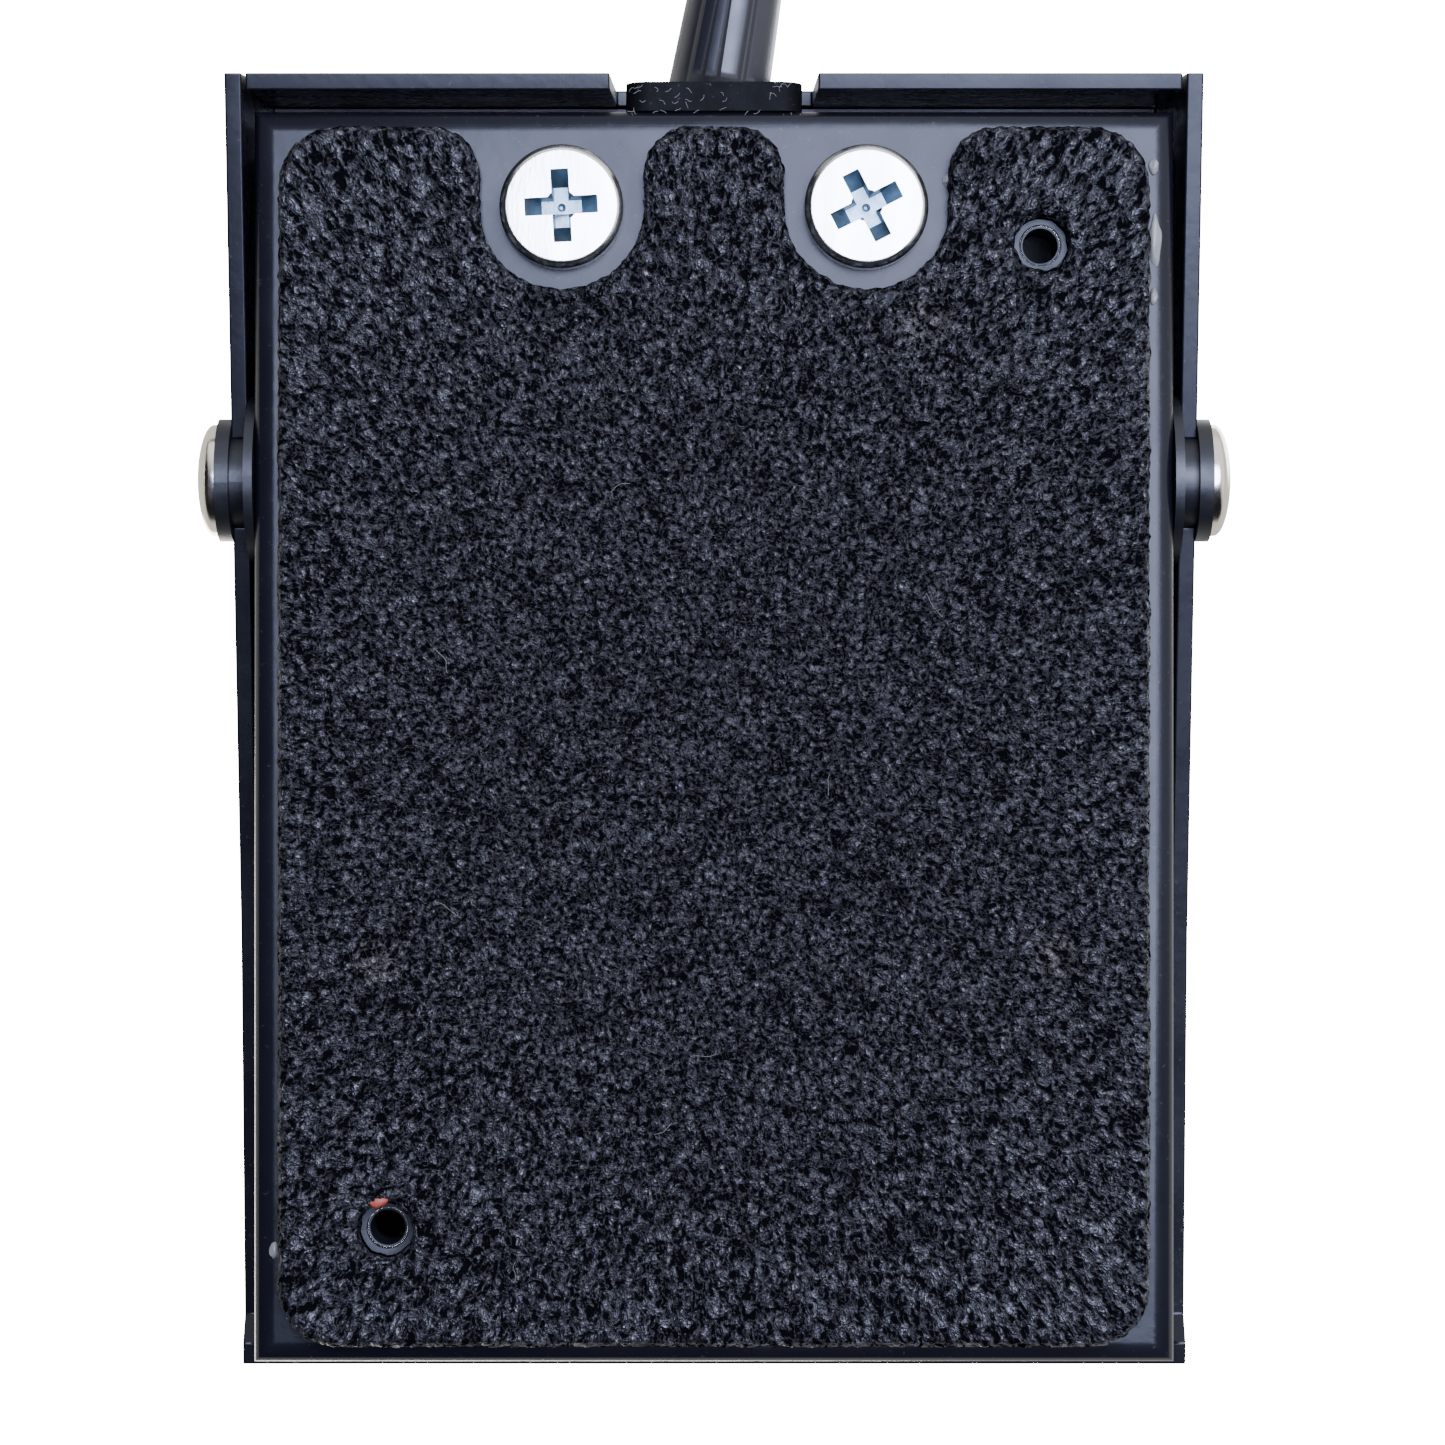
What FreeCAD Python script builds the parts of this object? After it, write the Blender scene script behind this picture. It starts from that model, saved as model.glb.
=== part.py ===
"""Small volume pedal: a pressed base pan, a rocking treadle, and a gear-driven potentiometer.

Frame: +Z up, +Y towards the cable, -Y towards the toe, origin at the centre of the
anti-slip pad's lower face. Lengths are millimetres and angles are degrees.
The treadle's pieces are drawn level about the pivot and then tilted into their rest place.
"""
import FreeCAD
import Part
import math
import os
import re
import Sketcher

Vector = FreeCAD.Vector

SIZES = {
    # anti-slip pad
    "pad_inset_end": 1.5,
    "pad_inset_side": 2.0,
    "pad_thick": 2.5,
    "pad_corner": 4.2,
    "pad_lobe": 3.2,
    "pad_notch": 5.8,
    "pad_hole": 1.9,
    # pressed base pan
    "pan_long": 88.5,
    "pan_wide": 65.1,
    "pan_sheet": 1.0,
    "pan_bend": 1.6,
    "front_flange": 7.0,
    "rear_flange": 11.5,
    "cheek_height": 5.5,
    "ear_radius": 6.0,
    "ear_foot": 10.0,
    # fasteners through the pan
    "screw_apart": 21.4,
    "screw_inset": 7.05,
    "screw_radius": 2.5,
    "screw_head_radius": 4.35,
    "screw_head": 2.3,
    "screw_shank": 8.2,
    "recess_span": 5.3,
    "recess_arm": 1.1,
    "recess_depth": 1.3,
    "nut_corner": 4.6,
    "nut_height": 3.6,
    "hole_play": 0.2,
    "thread_play": 0.03,
    "insert_side": 9.55,
    "insert_inset": 9.65,
    "insert_radius": 2.7,
    "insert_length": 5.0,
    "insert_bore": 1.25,
    # pivot
    "pivot_inset": 25.85,
    "pivot_height": 8.5,
    "pivot_pin": 2.5,
    "pivot_head": 4.0,
    "pivot_dome": 1.5,
    "pivot_shank": 8.5,
    "bush_flange": 1.0,
    "bush_flange_radius": 4.4,
    "bush_radius": 3.5,
    "run_play": 0.05,
    "washer_radius": 6.0,
    # treadle shell
    "side_gap": 0.75,
    "shell_sheet": 1.2,
    "shell_depth": 18.0,
    "front_margin": 1.95,
    "rear_margin": 2.95,
    "shell_edge": 2.0,
    "rest_tilt": 5.0,
    "travel": 11.0,
    "skirt_front": 1.3,
    "skirt_bend": 33.0,
    "skirt_rear": 4.0,
    "lip_drop": 1.5,
    "corner_slit": 0.3,
    "cable_gap": 14.7,
    "cable_gap_top": 17.0,
    # tread rubber
    "tread_inset": 2.0,
    "tread_base": 2.4,
    "tread_rib": 1.1,
    "tread_pitch": 4.8,
    "tread_groove": 1.6,
    "tread_corner": 4.0,
    # gear train and potentiometer
    "gear_module": 0.8,
    "sector_teeth": 72.0,
    "pinion_teeth": 12.0,
    "profile_shift": 0.3,
    "backlash": 0.14,
    "mesh_angle": 2.7,
    "sector_thick": 2.2,
    "pinion_wide": 3.0,
    "hub_wide": 2.5,
    "hub_radius": 4.6,
    "gear_side": -1.1,
    "pot_face": 8.0,
    "pot_radius": 8.0,
    "pot_deep": 10.0,
    "pot_wall": 0.5,
    "pot_plate": 1.0,
    "bushing_radius": 3.5,
    "bushing_long": 5.5,
    "shaft_radius": 3.0,
    "pot_nut_corner": 5.8,
    "pot_nut_thick": 2.0,
    "pot_washer_thick": 0.5,
    "wafer_thick": 1.2,
    "lug_long": 5.0,
    "lug_wide": 1.8,
    "lug_thick": 0.4,
    "lug_pitch": 4.6,
    "foot_sheet": 1.0,
    "foot_wide": 29.6,
    "foot_long": 7.4,
    "arm_wide": 5.5,
    "ear_wide": 19.0,
    # sector bracket
    "bracket_sheet": 1.2,
    "bracket_long": 14.0,
    "bracket_flange": 8.7,
    "bracket_start": 10.0,
    "bracket_drop": 13.0,
    "small_screw": 1.5,
    # rubber stops
    "stop_radius": 4.5,
    "stop_round": 3.0,
    "stop_gap": 0.3,
    "toe_stop_across": 48.0,
    "toe_stop_inset": 20.25,
    "heel_stop_across": 34.0,
    "heel_stop_inset": 15.75,
    "heel_stop_radius": 3.8,
    # cable, strain relief and clamp
    "cord_radius": 2.5,
    "relief_wide": 12.5,
    "relief_tall": 10.0,
    "relief_out": 2.05,
    "relief_in": 2.0,
    "relief_neck": 9.4,
    "relief_corner": 1.6,
    "relief_step": 0.6,
    "boot_root": 3.675,
    "boot_tip": 2.85,
    "boot_long": 21.0,
    "boot_lean": 9.8,
    "boot_offset": -0.3,
    "boot_sunk": 1.2,
    "cable_height": 8.2,
    "tail_long": 14.0,
    "clamp_wide": 11.0,
    "clamp_long": 4.4,
    "clamp_top": 3.4,
    "clamp_ear": 1.5,
    "wire_radius": 0.6,
    # stored coil and plug
    "coil_centre_x": 31.6,
    "coil_centre_y": 108.0,
    "coil_mean": 30.0,
    "coil_columns": 5.0,
    "coil_rows": 2.0,
    "turn_pitch": 5.1,
    "coil_lift": 0.6,
    "tie_wide": 8.0,
    "tie_thick": 0.6,
    "tie_slack": 1.2,
    "plug_reach": 26.0,
    "plug_height": 6.2,
    "plug_boot_long": 13.0,
    "plug_boot_radius": 3.2,
    "plug_handle_long": 27.0,
    "plug_handle_radius": 5.8,
    "plug_collar_long": 3.0,
    "plug_collar_radius": 5.0,
    "plug_pin_radius": 3.175,
    "plug_sleeve_long": 15.0,
    "plug_ring_long": 4.2,
    "plug_gap_long": 1.4,
    "plug_tip_long": 9.0,
    "tip_neck_long": 2.7,
    "tip_swell_long": 2.25,
    "tip_waist": 2.1,
    "tip_shoulder": 2.9,
    "tip_end": 0.6,
}

DERIVED = {
    "pad_long": "pan_long - 2 * pad_inset_end",
    "pad_wide": "pan_wide - 2 * pad_inset_side",
    "screw_row": "pan_long / 2 - screw_inset",
    "insert_across": "pan_wide - 2 * insert_side",
    "insert_along": "pan_long - 2 * insert_inset",
    "pivot_along": "pan_long / 2 - pivot_inset",
    "shell_wide": "pan_wide + 2 * side_gap + 2 * shell_sheet",
    "shell_front": "pan_long / 2 + pivot_along + front_margin",
    "shell_rear": "pan_long / 2 - pivot_along + rear_margin",
    "toe_stop_along": "toe_stop_inset - pan_long / 2",
    "heel_stop_along": "pan_long / 2 - heel_stop_inset",
    "small_head": "small_screw + shell_sheet",
    "pan_floor": "pad_thick + pan_sheet",
    "pan_inside_x": "pan_wide / 2 - pan_sheet",
    "pan_inside_y": "pan_long / 2 - pan_sheet",
    "ear_top": "pivot_height + ear_radius",
    "foot_top": "pan_floor + foot_sheet",
    "shell_inside_x": "shell_wide / 2 - shell_sheet",
    "shell_top": "shell_depth + shell_sheet",
    "tread_back": "shell_top + tread_base",
    "toe_angle": "(travel - rest_tilt) * 1 deg",
    "centre_distance": "gear_module * (sector_teeth + pinion_teeth) / 2",
    "mesh_height": "(mesh_angle + rest_tilt) * 1 deg",
    "pot_along": "pivot_along - centre_distance * cos(mesh_height)",
    "pot_height": "pivot_height + centre_distance * sin(mesh_height)",
    "pinion_left": "gear_side - sector_thick - (pinion_wide - sector_thick) / 2",
    "pinion_right": "pinion_left + pinion_wide",
    "shaft_left": "pinion_left - 0.5",
    "wafer_left": "pot_face + pot_plate + 0.2",
    "wiper_left": "wafer_left + wafer_thick + 1.1",
    "washer_left": "pot_face - foot_sheet - pot_washer_thick",
    "web_left": "gear_side - sector_thick - bracket_sheet",
    "relief_back": "pan_long / 2 + relief_out",
    "relief_front": "pan_inside_y - relief_in",
    "relief_bottom": "cable_height - relief_tall / 2",
    "tail_end": "relief_front - tail_long",
    "tip_x": "boot_offset - boot_long * sin(boot_lean * 1 deg)",
    "tip_y": "relief_back + boot_long * cos(boot_lean * 1 deg)",
    "coil_spread": "(coil_columns - 1) / 2 * turn_pitch",
    "coil_outside": "coil_mean + coil_spread + cord_radius",
    "coil_inside": "coil_mean - coil_spread - cord_radius",
    "coil_top": "coil_lift + coil_rows * turn_pitch",
    "plug_row": "coil_centre_x + coil_mean + coil_spread",
    "plug_start": "coil_centre_y - plug_reach",
    "handle_start": "plug_start - plug_boot_long",
    "collar_start": "handle_start - plug_handle_long",
    "sleeve_start": "collar_start - plug_collar_long",
    "ring_start": "sleeve_start - plug_sleeve_long - plug_gap_long",
    "tip_start": "ring_start - plug_ring_long - plug_gap_long",
}

DOCUMENT = FreeCAD.newDocument("VolumePedal")
SHEET = DOCUMENT.addObject("Spreadsheet::Sheet", "Dims")
NODES = []

TREADLE_PLACE = (
    "placement(vector(0; pivot_along; pivot_height); rotation(vector(-1; 0; 0); rest_tilt * 1 deg))"
)
AXES = {"X": Vector(1, 0, 0), "Y": Vector(0, 1, 0), "-Y": Vector(0, -1, 0), "Z": Vector(0, 0, 1)}


def fill_sheet():
    """Write each driving size into its own aliased cell."""
    for row, (name, size) in enumerate(SIZES.items(), start=1):
        SHEET.set(f"A{row}", name)
        SHEET.set(f"B{row}", str(size))
        SHEET.setAlias(f"B{row}", name)
    DOCUMENT.recompute()


def spell(formula):
    """Turn size names in a formula into references to the sheet."""
    def swap(found):
        word = found.group(0)
        if word in DERIVED:
            return "(" + spell(DERIVED[word]) + ")"
        if word in SIZES:
            return "Dims." + word
        return word
    return re.sub(r"[a-z][a-z_]+", swap, str(formula))


def value(formula):
    """Work a formula out as a plain number."""
    result = SHEET.evalExpression(spell(formula))
    return float(getattr(result, "Value", result))


def bind(thing, prop, formula):
    """Bind one property of an object to a formula of sizes."""
    thing.setExpression(prop, spell(formula))


def put(thing, x, y, z):
    """Bind an object's position."""
    for letter, formula in zip("xyz", (x, y, z)):
        bind(thing, f".Placement.Base.{letter}", formula)


def body(name):
    """Start a PartDesign body."""
    return DOCUMENT.addObject("PartDesign::Body", name)


def block(owner, name, x, y, z, cut=False):
    """Add or cut a box between pairs of formulas."""
    kind = "PartDesign::SubtractiveBox" if cut else "PartDesign::AdditiveBox"
    item = owner.newObject(kind, name)
    for prop, (low, high) in zip(("Length", "Width", "Height"), (x, y, z)):
        bind(item, prop, f"({high}) - ({low})")
    put(item, x[0], y[0], z[0])
    return item


def rod(owner, name, radius, start, axis, length, cut=False, tip=None):
    """Add or cut a cylinder, or a cone where a tip radius is given."""
    shape = "Cylinder" if tip is None else "Cone"
    kind = "PartDesign::" + ("Subtractive" if cut else "Additive") + shape
    item = owner.newObject(kind, name)
    if tip is None:
        bind(item, "Radius", radius)
    else:
        bind(item, "Radius1", radius)
        bind(item, "Radius2", tip)
    bind(item, "Height", length)
    course = AXES[axis] if isinstance(axis, str) else axis
    item.Placement.Rotation = FreeCAD.Rotation(Vector(0, 0, 1), course)
    put(item, *start)
    return item


def hexagon(owner, name, corner, start, axis, length):
    """Add a six-sided prism with a flat facing down."""
    item = owner.newObject("PartDesign::AdditivePrism", name)
    item.Polygon = 6
    bind(item, "Circumradius", corner)
    bind(item, "Height", length)
    item.Placement.Rotation = FreeCAD.Rotation(Vector(0, 0, 1), AXES[axis])
    put(item, *start)
    return item


def outline(owner, name, plane, corners, start, depth, cut=False):
    """Pad or pocket a closed sketch whose corners are pairs of formulas."""
    sketch = owner.newObject("Sketcher::SketchObject", name + "_sketch")
    origin = [item for item in owner.Origin.OriginFeatures if item.Role == plane + "_Plane"]
    sketch.AttachmentSupport = [(origin[0], "")]
    sketch.MapMode = "FlatFace"
    bind(sketch, ".AttachmentOffset.Base.z", start)
    spots = [Vector(value(u), value(v), 0) for u, v in corners]
    count = len(spots)
    for index in range(count):
        sketch.addGeometry(Part.LineSegment(spots[index], spots[(index + 1) % count]), False)
    for index in range(count):
        after = (index + 1) % count
        make_constraint(sketch, "Coincident", index, 2, after, 1)
    for index, pair in enumerate(corners):
        for kind, formula in zip(("DistanceX", "DistanceY"), pair):
            number = make_constraint(sketch, kind, -1, 1, index, 1, value(formula))
            bind(sketch, f"Constraints[{number}]", formula)
    item = owner.newObject("PartDesign::Pocket" if cut else "PartDesign::Pad", name)
    item.Profile = sketch
    bind(item, "Length", depth)
    item.Reversed = cut
    return item


def make_constraint(sketch, kind, *numbers):
    """Add one constraint to a sketch."""
    return sketch.addConstraint(Sketcher.Constraint(kind, *numbers))


def chosen_edges(feature, test):
    """Name the edges of a feature that pass a test on their middle, direction and box."""
    DOCUMENT.recompute()
    names = []
    for number, edge in enumerate(feature.Shape.Edges, start=1):
        middle = (edge.ParameterRange[0] + edge.ParameterRange[1]) / 2
        spot = edge.valueAt(middle)
        run = edge.tangentAt(middle)
        if test(spot, run, edge):
            names.append(f"Edge{number}")
    return names


def soften(owner, name, feature, radius, test):
    """Fillet the chosen edges of a feature."""
    item = owner.newObject("PartDesign::Fillet", name)
    item.Base = (feature, chosen_edges(feature, test))
    bind(item, "Radius", radius)
    return item


def node(thing, label, treadle=False):
    """Keep an object as a sub-part under its own label."""
    thing.Label = label
    if treadle:
        bind(thing, "Placement", TREADLE_PLACE)
    NODES.append(thing)
    return thing


def group(label, things, treadle=False):
    """Keep like pieces together as one sub-part of separate solids."""
    item = DOCUMENT.addObject("Part::Compound", label + "_group")
    item.Links = things
    return node(item, label, treadle)


def sides():
    """Give each side's name and sign."""
    return (("left", "-1"), ("right", "1"))


def is_upright(run):
    """Tell whether a direction runs along Z."""
    return abs(run.z) > 0.99


def at_height(spot, level):
    """Tell whether a spot lies at a height."""
    return abs(spot.z - level) < 0.01


# ---- base ----------------------------------------------------------------------------------

def make_pan():
    """Pressed pan: floor, low cheeks, a pivot ear each side, and a flange at each end."""
    pan = body("pan")
    half_x, half_y = "pan_wide / 2", "pan_long / 2"
    outer = block(pan, "pan_blank", (f"-{half_x}", half_x), (f"-{half_y}", half_y), ("pad_thick", "ear_top"))
    low = value("pad_thick")
    soften(pan, "pan_bends", outer, "pan_bend", lambda spot, run, edge: at_height(spot, low))
    block(pan, "pan_hollow", ("-pan_inside_x", "pan_inside_x"), ("-pan_inside_y", "pan_inside_y"),
          ("pan_floor", "ear_top + 1"), cut=True)
    cheek = "pad_thick + cheek_height"
    brink = [
        ("-pan_long", "pad_thick + front_flange"),
        ("-pan_inside_y", "pad_thick + front_flange"),
        ("-pan_inside_y + 2", cheek),
        ("pivot_along - ear_foot", cheek),
        ("pivot_along - ear_radius * 0.7", "ear_top"),
        ("pivot_along + ear_radius * 0.7", "ear_top"),
        ("pivot_along + ear_foot", cheek),
        ("pan_inside_y - 2", cheek),
        ("pan_inside_y", "pad_thick + rear_flange"),
        ("pan_long", "pad_thick + rear_flange"),
        ("pan_long", "ear_top + 5"),
        ("-pan_long", "ear_top + 5"),
    ]
    outline(pan, "pan_brink", "YZ", brink, "-pan_wide", "2 * pan_wide", cut=True)
    for side, sign in sides():
        rod(pan, "screw_hole_" + side, "screw_radius + hole_play",
            (f"{sign} * screw_apart / 2", "screw_row", "pad_thick - 1"), "Z", "pan_sheet + 2", cut=True)
    for end, sign in (("rear", "1"), ("front", "-1")):
        rod(pan, "insert_hole_" + end, "insert_radius",
            (f"-{sign} * insert_across / 2", f"{sign} * insert_along / 2", "pad_thick - 1"),
            "Z", "pan_sheet + 2", cut=True)
    rod(pan, "pivot_hole", "pivot_pin + run_play", ("-pan_wide", "pivot_along", "pivot_height"),
        "X", "2 * pan_wide", cut=True)
    block(pan, "relief_slot", ("-relief_neck / 2", "relief_neck / 2"), ("pan_inside_y - 1", "pan_long"),
          ("relief_bottom + relief_step", "ear_top + 1"), cut=True)
    node(pan, "base_pan")


def make_pad():
    """Anti-slip pad with two round-bottomed notches for the screws and two mounting holes."""
    pad = body("pad")
    half_x, half_y = "pad_wide / 2", "pad_long / 2"
    sheet = block(pad, "pad_sheet", (f"-{half_x}", half_x), (f"-{half_y}", half_y), ("0", "pad_thick"))
    soften(pad, "pad_corners", sheet, "pad_corner", lambda spot, run, edge: is_upright(run))
    for side, sign in sides():
        rod(pad, "notch_round_" + side, "pad_notch", (f"{sign} * screw_apart / 2", "screw_row", "-1"),
            "Z", "pad_thick + 2", cut=True)
        mouth = block(pad, "notch_mouth_" + side,
                      (f"{sign} * screw_apart / 2 - pad_notch", f"{sign} * screw_apart / 2 + pad_notch"),
                      ("screw_row", "pad_long"), ("-1", "pad_thick + 1"), cut=True)
    edge_y = value("pad_long / 2")
    reach = value("screw_apart / 2 + pad_notch") + 0.5
    lobes = soften(pad, "pad_lobes", mouth, "pad_lobe",
                   lambda spot, run, edge: is_upright(run) and spot.y > edge_y - 0.1 and abs(spot.x) < reach)
    lobes.Refine = True
    for end, sign in (("rear", "1"), ("front", "-1")):
        rod(pad, "mount_clearance_" + end, "pad_hole",
            (f"-{sign} * insert_across / 2", f"{sign} * insert_along / 2", "-1"),
            "Z", "pad_thick + 2", cut=True)
    node(pad, "anti_slip_pad")


def make_chassis_screws():
    """Two cross-recessed pan-head screws, driven from below, and their nuts inside."""
    screws = []
    nuts = []
    turns = {"left": 27.0, "right": 3.0}
    for side, sign in sides():
        screw = body("chassis_screw_" + side)
        rod(screw, "rim_" + side, "screw_head_radius", ("0", "0", "0"), "Z", "screw_head * 0.7")
        rod(screw, "crown_" + side, "screw_head_radius", ("0", "0", "screw_head * 0.7"), "Z",
            "screw_head * 0.3", tip="screw_head_radius - 0.5")
        rod(screw, "shank_" + side, "screw_radius", ("0", "0", "-screw_shank"), "Z", "screw_shank")
        half_arm, half_span = "recess_arm / 2", "recess_span / 2"
        deep = ("screw_head - recess_depth", "screw_head + 1")
        block(screw, "slot_a_" + side, (f"-{half_span}", half_span), (f"-{half_arm}", half_arm), deep, cut=True)
        block(screw, "slot_b_" + side, (f"-{half_arm}", half_arm), (f"-{half_span}", half_span), deep, cut=True)
        flip = FreeCAD.Rotation(Vector(1, 0, 0), 180)
        turn = FreeCAD.Rotation(Vector(0, 0, 1), turns[side])
        screw.Placement.Rotation = turn.multiply(flip)
        put(screw, f"{sign} * screw_apart / 2", "screw_row", "pad_thick")
        screws.append(screw)
        nut = body("chassis_nut_" + side)
        place = (f"{sign} * screw_apart / 2", "screw_row", "foot_top + clamp_ear")
        hexagon(nut, "hexagon_" + side, "nut_corner", place, "Z", "nut_height")
        rod(nut, "thread_" + side, "screw_radius + thread_play", place, "Z", "nut_height + 1", cut=True)
        nuts.append(nut)
    group("chassis_screws", screws)
    group("chassis_nuts", nuts)


def make_inserts():
    """Two threaded clinch inserts on the pan's diagonal, open downwards."""
    inserts = []
    for end, sign in (("rear", "1"), ("front", "-1")):
        insert = body("insert_" + end)
        x, y = f"-{sign} * insert_across / 2", f"{sign} * insert_along / 2"
        rod(insert, "neck_" + end, "insert_radius", (x, y, "pad_thick"), "Z", "insert_length")
        rod(insert, "collar_" + end, "insert_radius + 0.7", (x, y, "pan_floor"), "Z",
            "insert_length - pan_sheet - 1")
        rod(insert, "bore_" + end, "insert_bore", (x, y, "pad_thick - 1"), "Z", "insert_length + 2", cut=True)
        inserts.append(insert)
    group("mounting_inserts", inserts)


def make_strain_relief():
    """Moulded relief clipped in the rear flange, with a tapered boot that leans to one side."""
    relief = body("relief")
    half = "relief_wide / 2"
    tall = ("relief_bottom", "relief_bottom + relief_tall")
    plate = block(relief, "relief_plate", (f"-{half}", half), ("relief_front", "relief_back"), tall)
    soften(relief, "relief_corners", plate, "relief_corner", lambda spot, run, edge: abs(run.y) > 0.99)
    gap = ("pan_inside_y", "pan_long / 2")
    above = ("relief_bottom - 1", "relief_bottom + relief_tall + 1")
    block(relief, "groove_left", (f"-{half} - 1", "-relief_neck / 2"), gap, above, cut=True)
    block(relief, "groove_right", ("relief_neck / 2", f"{half} + 1"), gap, above, cut=True)
    block(relief, "groove_bottom", (f"-{half}", half), ("relief_front - 1", "pan_long / 2"),
          ("relief_bottom - 1", "relief_bottom + relief_step"), cut=True)
    lean = math.radians(value("boot_lean"))
    course = Vector(-math.sin(lean), math.cos(lean), 0)
    rod(relief, "boot", "boot_root",
        ("boot_offset + boot_sunk * sin(boot_lean * 1 deg)",
         "relief_back - boot_sunk * cos(boot_lean * 1 deg)", "cable_height"),
        course, "boot_long + boot_sunk", tip="boot_tip")
    node(relief, "strain_relief")


def make_cable_hold():
    """Cable tail inside the pan and the saddle that clamps it under the chassis nuts."""
    tail = body("tail")
    rod(tail, "tail_jacket", "cord_radius", ("0", "tail_end", "cable_height"), "Y", "tail_long")
    node(tail, "cable_tail")
    clamp = body("clamp")
    half = "clamp_wide / 2"
    along = ("screw_row - clamp_long / 2", "screw_row + clamp_long / 2")
    block(clamp, "saddle", (f"-{half}", half), along, ("foot_top", "cable_height + clamp_top"))
    block(clamp, "ears", ("-foot_wide / 2", "foot_wide / 2"),
          ("screw_row - foot_long / 2", "screw_row + foot_long / 2"), ("foot_top", "foot_top + clamp_ear"))
    rod(clamp, "cable_way", "cord_radius + run_play", ("0", "0", "cable_height"), "Y", "pan_long", cut=True)
    for side, sign in sides():
        rod(clamp, "ear_hole_" + side, "screw_radius + hole_play",
            (f"{sign} * screw_apart / 2", "screw_row", "pan_floor"), "Z", "foot_sheet + clamp_ear + 1", cut=True)
        block(clamp, "nut_room_" + side,
              (f"{sign} * screw_apart / 2 - nut_corner - 0.2", f"{sign} * screw_apart / 2 + nut_corner + 0.2"),
              ("0", "pan_long"), ("foot_top + clamp_ear", "cable_height + clamp_top + 1"), cut=True)
    node(clamp, "cable_clamp")


def make_pot_bracket():
    """Sheet bracket held by the chassis screws, with an upright ear for the potentiometer."""
    bracket = body("bracket")
    level = ("pan_floor", "foot_top")
    arm = ("pot_face - foot_sheet", "pot_face - foot_sheet + arm_wide")
    block(bracket, "foot", ("-foot_wide / 2", "foot_wide / 2"),
          ("screw_row - foot_long / 2", "screw_row + foot_long / 2"), level)
    block(bracket, "arm", arm, ("pot_along - ear_wide / 2", "screw_row"), level)
    ear = block(bracket, "ear", ("pot_face - foot_sheet", "pot_face"),
                ("pot_along - ear_wide / 2", "pot_along + ear_wide / 2"),
                ("pan_floor", "pot_height + pot_radius + 1.2"))
    top = value("pot_height + pot_radius")
    soften(bracket, "ear_corners", ear, "5", lambda spot, run, edge: abs(run.x) > 0.99 and spot.z > top)
    rod(bracket, "pot_hole", "bushing_radius + run_play", ("0", "pot_along", "pot_height"), "X", "20", cut=True)
    for side, sign in sides():
        rod(bracket, "foot_hole_" + side, "screw_radius + hole_play",
            (f"{sign} * screw_apart / 2", "screw_row", "pan_floor - 1"), "Z", "foot_sheet + 2", cut=True)
    node(bracket, "pot_bracket")


def make_pot():
    """Rotary potentiometer: can, front plate with threaded bushing, wafer, lugs, washer and nut."""
    axis_y, axis_z = "pot_along", "pot_height"
    can = body("can")
    rod(can, "can_outside", "pot_radius", ("pot_face", axis_y, axis_z), "X", "pot_deep")
    rod(can, "can_inside", "pot_radius - pot_wall", ("pot_face - 1", axis_y, axis_z), "X",
        "pot_deep + 1 - pot_wall", cut=True)
    lug_span = "(lug_pitch + lug_wide / 2 + 0.4)"
    block(can, "lug_window", ("pot_face - 1", "wafer_left + wafer_thick + lug_thick + 0.2"),
          (axis_y, f"{axis_y} + 2 * pot_radius"),
          (f"{axis_z} - {lug_span}", f"{axis_z} + {lug_span}"), cut=True)
    node(can, "pot_case")

    front = body("front")
    rod(front, "front_plate", "pot_radius - pot_wall - run_play", ("pot_face", axis_y, axis_z), "X", "pot_plate")
    rod(front, "bushing", "bushing_radius", ("pot_face - bushing_long", axis_y, axis_z), "X", "bushing_long + 0.5")
    rod(front, "bushing_bore", "shaft_radius + run_play", ("pot_face - 10", axis_y, axis_z), "X", "20", cut=True)
    node(front, "pot_bushing")

    wafer = body("wafer")
    rod(wafer, "wafer_disc", "pot_radius - pot_wall - run_play", ("wafer_left", axis_y, axis_z), "X", "wafer_thick")
    block(wafer, "wafer_tongue", ("wafer_left", "wafer_left + wafer_thick"),
          (axis_y, f"{axis_y} + pot_radius + 1"), (f"{axis_z} - lug_pitch - 1", f"{axis_z} + lug_pitch + 1"))
    rod(wafer, "wafer_bore", "shaft_radius + 0.5", ("pot_face", axis_y, axis_z), "X", "pot_deep", cut=True)
    node(wafer, "pot_wafer")

    lugs = []
    for name, step in (("low", "-1"), ("middle", "0"), ("high", "1")):
        lug = body("lug_" + name)
        height = f"{axis_z} + {step} * lug_pitch"
        block(lug, "lug_blade_" + name, ("wafer_left + wafer_thick", "wafer_left + wafer_thick + lug_thick"),
              (f"{axis_y} + pot_radius - 1.5", f"{axis_y} + pot_radius + lug_long"),
              (f"{height} - lug_wide / 2", f"{height} + lug_wide / 2"))
        lugs.append(lug)
    group("pot_terminals", lugs)

    ring = body("ring")
    rod(ring, "washer_disc", "pot_nut_corner + 0.6", ("washer_left", axis_y, axis_z), "X", "pot_washer_thick")
    rod(ring, "washer_bore", "bushing_radius + run_play", ("0", axis_y, axis_z), "X", "20", cut=True)
    node(ring, "pot_washer")

    nut = body("pot_hex")
    hexagon(nut, "pot_hexagon", "pot_nut_corner", ("washer_left - pot_nut_thick", axis_y, axis_z), "X",
            "pot_nut_thick")
    rod(nut, "pot_hex_bore", "bushing_radius", ("0", axis_y, axis_z), "X", "20", cut=True)
    node(nut, "pot_nut")


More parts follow.
